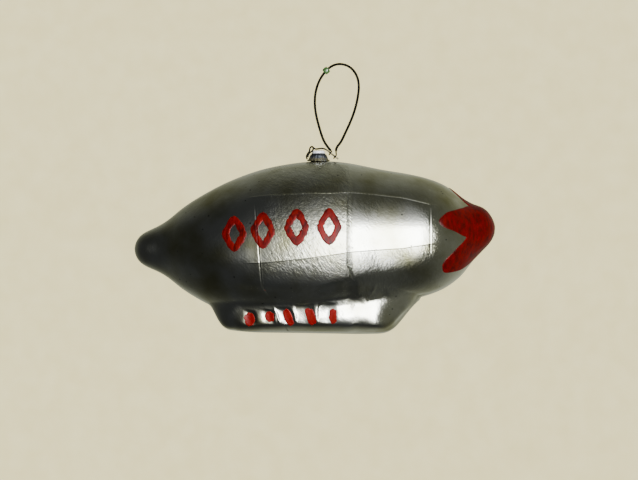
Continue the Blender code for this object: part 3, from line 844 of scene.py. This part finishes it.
def paint_on(bm, where, edge_distance, enamel, glass):
    """Makes a flat patch a film of enamel on the glass, rounded down at its edges.

    where gives each flat point's length and angle, edge_distance how far it is from the
    patch's edge.
    """
    made = bmesh.ops.extrude_face_region(bm, geom=bm.faces[:])["geom"]
    raised = {vert for vert in made if isinstance(vert, bmesh.types.BMVert)}
    flat = np.array([vert.co[:2] for vert in bm.verts])
    on_top = np.array([vert in raised for vert in bm.verts])
    length, angle = where(flat)
    share = np.clip(edge_distance(flat) / enamel.edge_width, 0, 1)
    crown = np.sqrt(1 - (1 - share) ** 2)
    # The brush leaves it uneven, with about nine streaks between a patch's middle and its edge
    streak = np.array([noise.noise(Vector((*p, 0)) * 9) for p in flat])
    top = enamel.thickness * (0.12 + crown * (0.88 + 0.2 * streak))
    return move_to(bm, on_glass(length, angle, np.where(on_top, top, -FILM_ROOT), glass))


def ragged(angle, seed, amount):
    """A hand-brushed edge: how far it wanders at this angle, as a factor.

    It has slow waves round the patch, and quick ones half as high.
    """
    wander = [
        noise.noise(Vector((2.2 * math.cos(a), 2.2 * math.sin(a), seed)))
        + 0.5 * noise.noise(Vector((6 * math.cos(a), 6 * math.sin(a), seed)))
        for a in angle
    ]
    return 1 + amount * np.array(wander)


def ray_reach(angle, root, tip, length):
    """How far out from the nose one blunt brush stroke covers each angle."""
    out = np.linspace(0.5 * MM, length, 1200)
    rounding = np.clip((out - length) / STAR_TIP_ROUNDING + 1, 0, 1)
    half_width = (STAR_TIP_HALF_WIDTH + STAR_WIDENING * (length - out)) * np.sqrt(1 - rounding**2)
    share = np.degrees(half_width / np.interp(LENGTH[-1] - out, LENGTH, RADIUS))
    middle = root + (tip - root) * np.clip((out - STAR_ROOT) / (length - STAR_ROOT), 0, 1)
    off = np.abs((np.degrees(angle)[:, None] - middle + 180) % 360 - 180)
    return np.max(np.where(off <= share, out, 0), axis=1)


def star_reach(angle):
    """How far the star runs from the nose tip."""
    return np.max([ray_reach(angle, *ray) for ray in STAR_RAYS], axis=0)


def rounded_reach(angle, width, height, power):
    """How far a shape with rounded corners reaches, from half its width and half its height."""
    across, upright = np.abs(np.cos(angle) / width), np.abs(np.sin(angle) / height)
    return (across**power + upright**power) ** (-1 / power)


def lozenge_path(angle):
    """The middle line of the lozenge's brush strokes, corners rounded."""
    halves = [side / 2 - LOZENGE_STROKE for side in LOZENGE_SIZE]
    reach = rounded_reach(angle, *halves, LOZENGE_CORNER_POWER)
    return np.stack([reach * np.cos(angle), reach * np.sin(angle)], axis=-1)


def both_sides(places):
    """Each place on the near and the far side, with what its piece's name ends in."""
    for side_name, side in (("near", 1), ("far", -1)):
        for number, (x, z, *shape) in enumerate(places, 1):
            yield f"{side_name}_{number}", x * MM, z * MM, side, shape


def tube(name, points, radii, finish, body, slot, sides):
    """A round wire through the points as one closed mesh."""
    curve = bpy.data.curves.new(name, "CURVE")
    curve.dimensions = "3D"
    curve.bevel_depth = max(radii)
    curve.bevel_resolution = sides
    curve.use_fill_caps = True
    line = curve.splines.new("POLY")
    line.points.add(len(points) - 1)
    for point, place, radius in zip(line.points, points, radii):
        point.co = (*place, 1)
        point.radius = radius / max(radii)
    obj = bpy.data.objects.new(name, curve)
    mesh = bpy.data.meshes.new_from_object(obj)
    bpy.data.objects.remove(obj)
    bpy.data.curves.remove(curve)
    bm = bmesh.new()
    take_mesh(bm, mesh)
    bmesh.ops.remove_doubles(bm, verts=bm.verts, dist=SAME_PLACE)
    return add_object(name, bm, finish, body, slot)


def thin_ended(count, radius, *ends):
    """The radii of a wire with these shares of its radius at both ends."""
    shares = [*ends, *[1.0] * (count - 2 * len(ends)), *ends[::-1]]
    return [share * radius for share in shares]


def smooth_route(points, spacing):
    """Evenly spaced points on the smooth curve through the given ones."""
    places = np.array([tuple(p) for p in points])
    along = np.concatenate([[0], np.cumsum(np.linalg.norm(np.diff(places, axis=0), axis=1))])
    at = np.linspace(0, along[-1], max(2, round(along[-1] / spacing)) + 1)
    return [Vector(p) for p in np.stack([spline(along, places[:, i], at) for i in range(3)], axis=1)]


def eye(place, first, last):
    """The bare core's turn round the bail's arm, from one angle to another."""
    middle = ARM_START + ARM_DIRECTION * place
    up = Vector((-ARM_DIRECTION.z, 0, ARM_DIRECTION.x))
    reach = BAIL_RADIUS + EYE_CLEARANCE + CORE_RADIUS
    turns = np.radians(np.linspace(first, last, 25))
    return [middle + reach * (up * math.cos(a) + Vector((0, math.sin(a), 0))) for a in turns]


def measure(name, description, default, **limits):
    """A length that a maker may change."""
    return FloatProperty(name=name, description=description, default=default, unit="LENGTH", **limits)


def hex_value(name, description, default):
    """A colour that a maker may change, in sRGB hex."""
    return StringProperty(name=name, description=description, default=default)


class GlassSettings(bpy.types.PropertyGroup):
    ring_spacing: measure(
        "Ring spacing", "Spacing of the shell's rings on its plain stretches", 0.85 * MM, min=0.2 * MM
    )
    column_spacing: FloatProperty(
        name="Column spacing", description="Degrees between the shell's columns where it is plain",
        default=2.8, min=0.5,
    )
    seam_height: measure("Seam height", "How far the mould's seams stand proud", 0.06 * MM)
    frame_depth: measure("Frame depth", "How deep the frames across the hull are pressed", 0.12 * MM)
    pane_share: FloatProperty(
        name="Pane depth", description="Share of their full depth to which the panes are dished",
        default=1.0, min=0.0, subtype="FACTOR",
    )
    wall_lean: FloatProperty(
        name="Wall lean", description="How steeply the gondola's wall leans out below its middle",
        default=0.14,
    )
    mullion_height: measure("Mullion height", "How far the mullions stand proud", 0.07 * MM)
    dent_depth: measure("Dent depth", "How deep the dents by the gondola's strut are", 0.51 * MM)
    ridge_height: measure("Ridge height", "How far the strut's ridge stands proud", 0.06 * MM)
    swell_height: measure("Swell height", "How far the hull swells out over the strut", 0.34 * MM)
    wobble: measure("Wobble", "How far the blown glass strays from its mould", 0.1 * MM)
    silver: hex_value("Silver", "Colour of the clean silvering", "#CFCFC6")
    tarnish: hex_value("Tarnish", "Colour of the tarnish", "#9C9A78")
    flaked: hex_value("Flaked", "Colour of the pinholes", "#16160F")


class EnamelSettings(bpy.types.PropertyGroup):
    thickness: measure("Thickness", "Thickness of the enamel in its middle", 0.16 * MM)
    edge_width: measure("Edge width", "How wide the enamel's rounded edge is", 0.5 * MM)
    stroke: measure("Stroke", "Half the width of a motif's brush stroke", LOZENGE_STROKE)
    star_deep: hex_value("Star, thick", "Thick enamel on the nose", "#340000")
    star_thin: hex_value("Star, thin", "Thin enamel on the nose", "#640100")
    motif_deep: hex_value("Motif, thick", "Thick enamel on the motifs", "#330101")
    motif_thin: hex_value("Motif, thin", "Thin enamel on the motifs", "#780C08")


class HangerSettings(bpy.types.PropertyGroup):
    crimps: IntProperty(name="Crimps", description="Flutes pressed into the cap's side", default=18, min=3)
    tin: hex_value("Tin", "Colour of the bare tin", "#666A72")
    # The white painted on the cap's top as its highlight
    painted_highlight: hex_value("Painted highlight", "Colour of the bloom on its top", "#FAFBFF")
    rust: hex_value("Rust", "Colour of the rust at its rim", "#4E4A34")
    wire: hex_value("Wire", "Colour of the rubbed wire", "#6A6450")
    oxide: hex_value("Oxide", "Colour of the wire's oxide", "#12100C")
    sleeve: hex_value("Sleeve", "Colour of the black sleeve", "#0B0B0A")
    dust: hex_value("Dust", "Colour of the dust on the sleeve", "#2A2822")
    bead: hex_value("Bead", "Colour of the bead", "#1C3A18")
    thread: hex_value("Thread", "Colour of the threads in it", "#5C8A4C")


class StageSettings(bpy.types.PropertyGroup):
    camera_distance: measure("Camera distance", "From the camera to the object", 0.9)
    paper_radius: measure("Paper radius", "How far off the paper stands", 1.7)
    paper: hex_value("Paper", "Colour of the paper", "#DDD29C")
    fibre: hex_value("Fibre", "Colour of its mottling", "#D5CA92")
    paper_glow: FloatProperty(name="Paper light", description="Even light on the paper", default=1.9)
    window: FloatProperty(name="Window", description="Brightness of the window", default=17.0)
    glow: FloatProperty(name="Glow", description="Brightness of the wall by the window", default=2.4)
    room: FloatProperty(name="Room", description="Brightness of the room's dark side", default=0.039)
    table: FloatProperty(
        name="Table", description="Brightness of the side that the paper lights", default=0.5
    )


class AIRSHIP_OT_glass(bpy.types.Operator):
    """The blown shell with its neck, seams, frames and window panes"""

    bl_idname = "airship.glass"
    bl_label = "Glass body"

    def execute(self, context):
        glass = context.scene.airship_glass
        bm = sphere_shell(shell_rings(glass.ring_spacing), shell_columns(glass.column_spacing), glass)
        open_neck(bm)
        add_object("blown_glass_hull", bm, silvered_glass(glass), "glass", "silvered_glass", "glass_body")
        return {"FINISHED"}


class AIRSHIP_OT_star(bpy.types.Operator):
    """The five-rayed star brushed over the nose"""

    bl_idname = "airship.star"
    bl_label = "Nose star"

    def execute(self, context):
        glass, enamel = context.scene.airship_glass, context.scene.airship_enamel

        def reach(flat):
            angle = np.arctan2(flat[:, 1], flat[:, 0])
            return angle, star_reach(angle) * ragged(angle, 3.0, STAR_RAGGEDNESS)

        def where(flat):
            angle, out = reach(flat)
            return LENGTH[-1] - np.maximum(out * np.hypot(*flat.T), 0.05 * MM), angle

        # A ray's edge slants across the disc's spokes, so it is nearer than a spoke is long
        def edge_distance(flat):
            return reach(flat)[1] * (1 - np.hypot(*flat.T)) * 0.6

        bm = paint_on(flat_disc(34, 300), where, edge_distance, enamel, glass)
        finish = brushed_enamel("nose_star_enamel", (enamel.star_deep, enamel.star_thin))
        add_object("brushed_nose_star", bm, finish, "glass", "red_enamel", "nose_star")
        return {"FINISHED"}


class AIRSHIP_OT_motifs(bpy.types.Operator):
    """The brushed lozenges along both sides of the hull"""

    bl_idname = "airship.motifs"
    bl_label = "Hull motifs"

    def execute(self, context):
        glass, enamel = context.scene.airship_glass, context.scene.airship_enamel
        finish = brushed_enamel("motif_enamel", (enamel.motif_deep, enamel.motif_thin))
        for suffix, x, z, side, _ in both_sides(LOZENGE_MIDDLES):
            self.add_lozenge(suffix, x, z, side, finish, enamel, glass)
        return {"FINISHED"}

    @staticmethod
    def add_lozenge(suffix, x, z, side, finish, enamel, glass):
        # Its own place in the noise, so that no two lozenges are brushed alike
        seed = x / MM + 50 * side

        def where(flat):
            angle = np.arctan2(flat[:, 1], flat[:, 0])
            across = (np.hypot(*flat.T) - 1.5) * 2
            turn = math.radians(0.5)
            along = lozenge_path(angle + turn) - lozenge_path(angle - turn)
            outward = np.stack([along[:, 1], -along[:, 0]], axis=-1)
            outward /= np.linalg.norm(outward, axis=-1, keepdims=True)
            width = enamel.stroke * ragged(angle, seed, LOZENGE_RAGGEDNESS)
            places = lozenge_path(angle) + outward * (across * width)[:, None]
            return side_view(x + places[:, 0], z + places[:, 1], side)

        def edge_distance(flat):
            return enamel.stroke * (1 - np.abs(np.hypot(*flat.T) - 1.5) * 2)

        bm = paint_on(flat_ring(12, 120), where, edge_distance, enamel, glass)
        add_object(f"brushed_lozenge_{suffix}", bm, finish, "glass", "red_enamel", f"lozenge_{suffix}")


class AIRSHIP_OT_dabs(bpy.types.Operator):
    """The dabs of enamel in the gondola's windows"""

    bl_idname = "airship.dabs"
    bl_label = "Window dabs"

    def execute(self, context):
        glass, enamel = context.scene.airship_glass, context.scene.airship_enamel
        finish = brushed_enamel("window_dab_enamel", (enamel.star_thin, enamel.motif_thin))
        for suffix, x, z, side, shape in both_sides(DABS):
            self.add_dab(suffix, x, z, side, shape, finish, enamel, glass)
        return {"FINISHED"}

    @staticmethod
    def add_dab(suffix, x, z, side, shape, finish, enamel, glass):
        seed = x / MM + 80 * side
        width, height, slant = shape[0] * MM, shape[1] * MM, shape[2]

        def where(flat):
            angle = np.arctan2(flat[:, 1], flat[:, 0])
            outline = rounded_reach(angle, 1, 1, DAB_CORNER_POWER) * ragged(angle, seed, DAB_RAGGEDNESS)
            places = flat * outline[:, None] * (width / 2, height / 2)
            return side_view(x + places[:, 0] - slant * places[:, 1], z + places[:, 1], side)

        def edge_distance(flat):
            return (1 - np.hypot(*flat.T)) * width / 2

        bm = paint_on(flat_disc(12, 60), where, edge_distance, enamel, glass)
        add_object(f"brushed_dab_{suffix}", bm, finish, "glass", "red_enamel", f"window_dab_{suffix}")


class AIRSHIP_OT_cap(bpy.types.Operator):
    """The pressed tin cap with its flat top, its flared and crimped skirt and its rolled rim"""

    bl_idname = "airship.cap"
    bl_label = "Tin cap"

    def execute(self, context):
        hanger = context.scene.airship_hanger
        low, high = crown_height() + CAP_CLEARANCE, CAP_HIGH.z
        edge = smooth_route([Vector((r, 0, -depth)) * MM for r, depth in CAP_PROFILE], 0.12 * MM)
        outside = [(point.x, high + point.z) for point in edge]
        # Out under the top, down inside, round the rim's roll, up outside and in over the top
        profile = [(0, high - CAP_WALL)]
        profile += [(radius - CAP_WALL, z) for radius, z in outside if z < high - 1.1 * CAP_WALL]
        profile += [
            (CAP_RIM - CAP_ROLL + CAP_ROLL * math.cos(a), low + CAP_ROLL + CAP_ROLL * math.sin(a))
            for a in np.radians(np.linspace(-180, 90, 10))
        ]
        profile += outside[::-1]
        profile += [(1.1 * MM, high - 0.02 * MM), (0.95 * MM, high - 0.1 * MM), (0, high - 0.1 * MM)]
        bm = spun(profile, 8 * hanger.crimps)
        for vert in bm.verts:
            radius, angle = vert.co.xy.length, math.atan2(vert.co.y, vert.co.x)
            on_side = float(smooth_step(radius, *CRIMP_START))
            vert.co.xy *= 1 - CRIMP_SHARE * on_side * (1 + math.cos(angle * hanger.crimps)) / 2
        bmesh.ops.translate(bm, verts=bm.verts, vec=(CAP_X, 0, 0))
        add_object("pressed_tin_cap", bm, pressed_tinplate(hanger), "cap", "tinplate", "cap")
        return {"FINISHED"}


class AIRSHIP_OT_bail(bpy.types.Operator):
    """The bail wire over the cap, with the arm that carries the loop"""

    bl_idname = "airship.bail"
    bl_label = "Bail wire"

    def execute(self, context):
        arm = ARM_DIRECTION * ARM_LENGTH
        bent = [Vector((x, 0, z)) * MM for x, z in BAIL_ROUTE]
        bent = smooth_route([*bent, ARM_START, ARM_START + arm / 3], 0.2 * MM)
        bent += [ARM_START + arm * share for share in (0.5, 0.75, 0.97, 1.0)]
        back = [
            Vector((x * MM, -min(step, RETURN_STEPS) * RETURN_STEP, z * MM))
            for step, (x, z) in enumerate(BAIL_RETURN)
        ]
        finish = drawn_wire("bail_steel_wire", context.scene.airship_hanger, ARM_START.x)
        for name, points in (("bail_wire_bent", bent), ("bail_wire_return", smooth_route(back, 0.2 * MM))):
            radii = [BAIL_RADIUS] * (len(points) - 1) + [0.8 * BAIL_RADIUS]
            piece = tube(name, points, radii, finish, "cap", "bare_wire", 4)
            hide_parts("bail_wire")
        return {"FINISHED"}


class AIRSHIP_OT_loop(bpy.types.Operator):
    """The hanging loop: a bare core with a black sleeve over most of it"""

    bl_idname = "airship.loop"
    bl_label = "Wire loop"

    def execute(self, context):
        hanger = context.scene.airship_hanger
        strand = [Vector((x, 0, z)) * MM for x, z in LOOP_ROUTE]
        first = eye(EYE_PLACES[0], EYE_START + EYE_TURN, EYE_START)
        last = eye(EYE_PLACES[1], EYE_START, EYE_START + EYE_TURN)
        middle = smooth_route([first[-1], *strand, last[0]], 0.35 * MM)
        core = first[:-1] + middle + last[1:]
        radii = thin_ended(len(core), CORE_RADIUS, 0.6, 0.95)
        finish = drawn_wire("core_steel_wire", hanger, max(x for x, _ in LOOP_ROUTE) * MM)
        core_piece = tube("loop_core_wire", core, radii, finish, "hanger", "bare_wire", 3)
        sleeved = middle[1:-3]
        radii = thin_ended(len(sleeved), LOOP_RADIUS, 0.88)
        sleeve = tube("loop_black_sleeve", sleeved, radii, black_sleeve(hanger), "hanger", "black_wire", 5)
        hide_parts("hanging_loop")
        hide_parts("hanging_loop")
        return {"FINISHED"}


class AIRSHIP_OT_bead(bpy.types.Operator):
    """The green glass bead on the loop"""

    bl_idname = "airship.bead"
    bl_label = "Glass bead"

    def execute(self, context):
        middle, section = (BEAD_RADIUS + BEAD_BORE) / 2, (BEAD_RADIUS - BEAD_BORE) / 2

        def rounded(share):
            return math.copysign(abs(share) ** BEAD_ROUNDNESS, share)

        bm = spun([
            (middle + section * rounded(math.cos(a)), BEAD_HALF_LENGTH * rounded(math.sin(a)))
            for a in np.radians(np.linspace(0, 360, 25))
        ], 48)
        tilt = Matrix.Rotation(BEAD_TILT, 3, "Y")
        bmesh.ops.rotate(bm, verts=bm.verts, cent=(0, 0, 0), matrix=tilt)
        bmesh.ops.translate(bm, verts=bm.verts, vec=BEAD_PLACE)
        finish = bead_glass(context.scene.airship_hanger)
        add_object("green_seed_bead", bm, finish, "hanger", "green_bead_glass", "glass_bead")
        return {"FINISHED"}


def room_light(stage):
    """Light from all round: a dim room in front, lit paper behind, and a window to the right.

    The directions are those in which the glass mirrors each of them. Each row makes one value,
    either of two others, or as a straight run over another that is level beyond its two ends.
    The window's light falls off by so many powers of ten past each of its edges, and glows on
    the wall to its left.
    """
    world = bpy.data.worlds.new("room")
    world.use_nodes = True
    tree = world.node_tree
    x = add(tree, "SeparateXYZ", {"Vector": add(tree, "TexCoord", out="Generated")}, out="X")
    values = {"x": x, "y": x.node.outputs["Y"], "z": x.node.outputs["Z"]}
    rows = (
        # Degrees from the camera's side towards +X, and degrees above level
        ("front", "MULTIPLY", "y", -1.0),
        ("turn", "ARCTAN2", "x", "front"),
        ("across", "MULTIPLY", "turn", 180 / math.pi),
        ("climb", "ARCSINE", "z", 0.0),
        ("upward", "MULTIPLY", "climb", 180 / math.pi),
        # The paper, a wall to the right and the ceiling, as shares of the paper's light
        ("behind", "y", -0.45, 1.0, 0.0, 1.0),
        ("paper", "POWER", "behind", 2.6),
        ("to_the_right", "x", 0.0, 1.0, 1.0, 1.7),
        ("paper", "MULTIPLY", "paper", "to_the_right"),
        ("to_the_left", "x", -0.6, 0.1, 0.5, 1.0),
        ("paper", "MULTIPLY", "paper", "to_the_left"),
        ("near_the_floor", "z", -0.6, -0.1, 0.8, 1.0),
        ("paper", "MULTIPLY", "paper", "near_the_floor"),
        ("side_wall", "x", 0.3, 0.8, 0.0, 0.25),
        ("ceiling", "x", -0.1, 0.5, 0.01, 0.12),
        ("overhead", "z", 0.6, 0.9, 0.0, 1.0),
        ("ceiling", "MULTIPLY", "ceiling", "overhead"),
        ("lit", "ADD", "paper", "side_wall"),
        ("lit", "ADD", "lit", "ceiling"),
        # The window, with a sill that drops towards its right
        ("past_the_left", "across", 8, -28, 0, 5),
        ("past_the_top", "upward", 17, 67, 0, 5),
        ("fall", "ADD", "past_the_left", "past_the_top"),
        ("past_the_right", "across", 33, 44, 0, 4),
        ("fall", "ADD", "fall", "past_the_right"),
        ("sill", "across", 22, 34, -10, -32),
        ("over_the_sill", "SUBTRACT", "upward", "sill"),
        ("past_the_sill", "over_the_sill", 0, -58, 0, 4),
        ("fall", "ADD", "fall", "past_the_sill"),
        ("power", "MULTIPLY", "fall", -1.0),
        ("window", "POWER", 10.0, "power"),
        ("window", "MULTIPLY", "window", stage.window),
        # The glow on the wall, which fades away from the window and off level
        ("along_the_wall", "across", -104, -4, -100, 0),
        ("along_the_wall", "MULTIPLY", "along_the_wall", 0.07),
        ("off_level", "SUBTRACT", "upward", 4),
        ("off_level", "ABSOLUTE", "off_level", 0.0),
        ("off_level", "SUBTRACT", "off_level", 13),
        ("off_level", "MAXIMUM", "off_level", 0.0),
        ("off_level", "MULTIPLY", "off_level", -0.08),
        ("glow", "ADD", "along_the_wall", "off_level"),
        ("glow", "EXPONENT", "glow", 0.0),
        ("wall_start", "across", -60, -24, 0.0, 1.0),
        ("glow", "MULTIPLY", "glow", "wall_start"),
        ("wall_end", "across", 33, 40, stage.glow, 0.0),
        ("glow", "MULTIPLY", "glow", "wall_end"),
        ("bright", "ADD", "window", "glow"),
    )
    for name, *recipe in rows:
        parts = [values.get(part, part) for part in recipe]
        if len(parts) == 3:
            values[name] = add(tree, "Math", {0: parts[1], 1: parts[2]}, operation=parts[0])
        else:
            values[name] = add(tree, "MapRange", dict(enumerate(parts)))

    warm = (0.97 * stage.table, stage.table, 0.74 * stage.table)
    cool = (0.9 * stage.room, 0.96 * stage.room, stage.room)
    lit = add(tree, "VectorMath", {0: warm, "Scale": values["lit"]}, operation="SCALE")
    room = add(tree, "VectorMath", {0: lit, 1: cool}, operation="ADD")
    white = add(
        tree, "VectorMath", {0: (0.97, 0.99, 0.98), "Scale": values["bright"]}, operation="SCALE"
    )
    light = add(tree, "VectorMath", {0: room, 1: white}, operation="ADD")
    fill(tree, tree.nodes["Background"], {"Color": light})
    bpy.context.scene.world = world


class AIRSHIP_OT_stage(bpy.types.Operator):
    """The pale paper, the light and the camera"""

    bl_idname = "airship.stage"
    bl_label = "Stage"

    def execute(self, context):
        stage = context.scene.airship_stage
        bm = bmesh.new()
        bmesh.ops.create_uvsphere(bm, u_segments=96, v_segments=64, radius=stage.paper_radius)
        for vert in bm.verts:
            vert.co.z = max(vert.co.z, PAPER_FLOOR)
        bmesh.ops.dissolve_degenerate(bm, edges=bm.edges, dist=1e-6)
        bmesh.ops.recalc_face_normals(bm, faces=bm.faces)
        bmesh.ops.reverse_faces(bm, faces=bm.faces)
        sweep = mesh_object("paper_sweep", bm, studio_paper(stage))
        # The light from all round stands in for the paper wherever the glass mirrors it
        for ray in ("glossy", "diffuse", "shadow", "transmission"):
            setattr(sweep, "visible_" + ray, False)
        room_light(stage)

        lens = bpy.data.cameras.new("camera")
        lens.sensor_width = 36
        lens.lens = lens.sensor_width * stage.camera_distance / (PHOTO_WIDTH * PIXEL)
        lens.clip_start, lens.clip_end = 0.01, 10
        camera = bpy.data.objects.new("camera", lens)
        camera.location = PHOTO_MIDDLE + Vector((0, -stage.camera_distance, 0))
        camera.rotation_euler.x = math.radians(90)
        context.scene.collection.objects.link(camera)
        context.scene.camera = camera
        return {"FINISHED"}


OPERATORS = (
    AIRSHIP_OT_stage,
    AIRSHIP_OT_glass,
    AIRSHIP_OT_star,
    AIRSHIP_OT_motifs,
    AIRSHIP_OT_dabs,
    AIRSHIP_OT_cap,
    AIRSHIP_OT_bail,
    AIRSHIP_OT_loop,
    AIRSHIP_OT_bead,
)


class AIRSHIP_PT_pieces(bpy.types.Panel):
    """The airship's pieces and their settings"""

    bl_idname = "AIRSHIP_PT_pieces"
    bl_label = "Glass airship"
    bl_space_type = "VIEW_3D"
    bl_region_type = "UI"
    bl_category = "Airship"

    def draw(self, context):
        for name in SETTINGS:
            group = getattr(context.scene, name)
            box = self.layout.box()
            for key in group.bl_rna.properties.keys():
                if key not in ("rna_type", "name"):
                    box.prop(group, key)
        for operator in OPERATORS:
            self.layout.operator(operator.bl_idname)


SETTINGS = {
    "airship_glass": GlassSettings,
    "airship_enamel": EnamelSettings,
    "airship_hanger": HangerSettings,
    "airship_stage": StageSettings,
}


def register():
    for made in (*SETTINGS.values(), *OPERATORS, AIRSHIP_PT_pieces):
        bpy.utils.register_class(made)
    for name, group in SETTINGS.items():
        setattr(bpy.types.Scene, name, PointerProperty(type=group))


def unregister():
    for name in SETTINGS:
        delattr(bpy.types.Scene, name)
    for made in reversed((*SETTINGS.values(), *OPERATORS, AIRSHIP_PT_pieces)):
        bpy.utils.unregister_class(made)


def main():
    register()
    bpy.ops.airship.stage()
    bpy.ops.airship.glass()
    bpy.ops.airship.star()
    bpy.ops.airship.motifs()
    bpy.ops.airship.dabs()
    bpy.ops.airship.cap()
    bpy.ops.airship.bail()
    bpy.ops.airship.loop()
    bpy.ops.airship.bead()


if __name__ == "__main__":
    main()
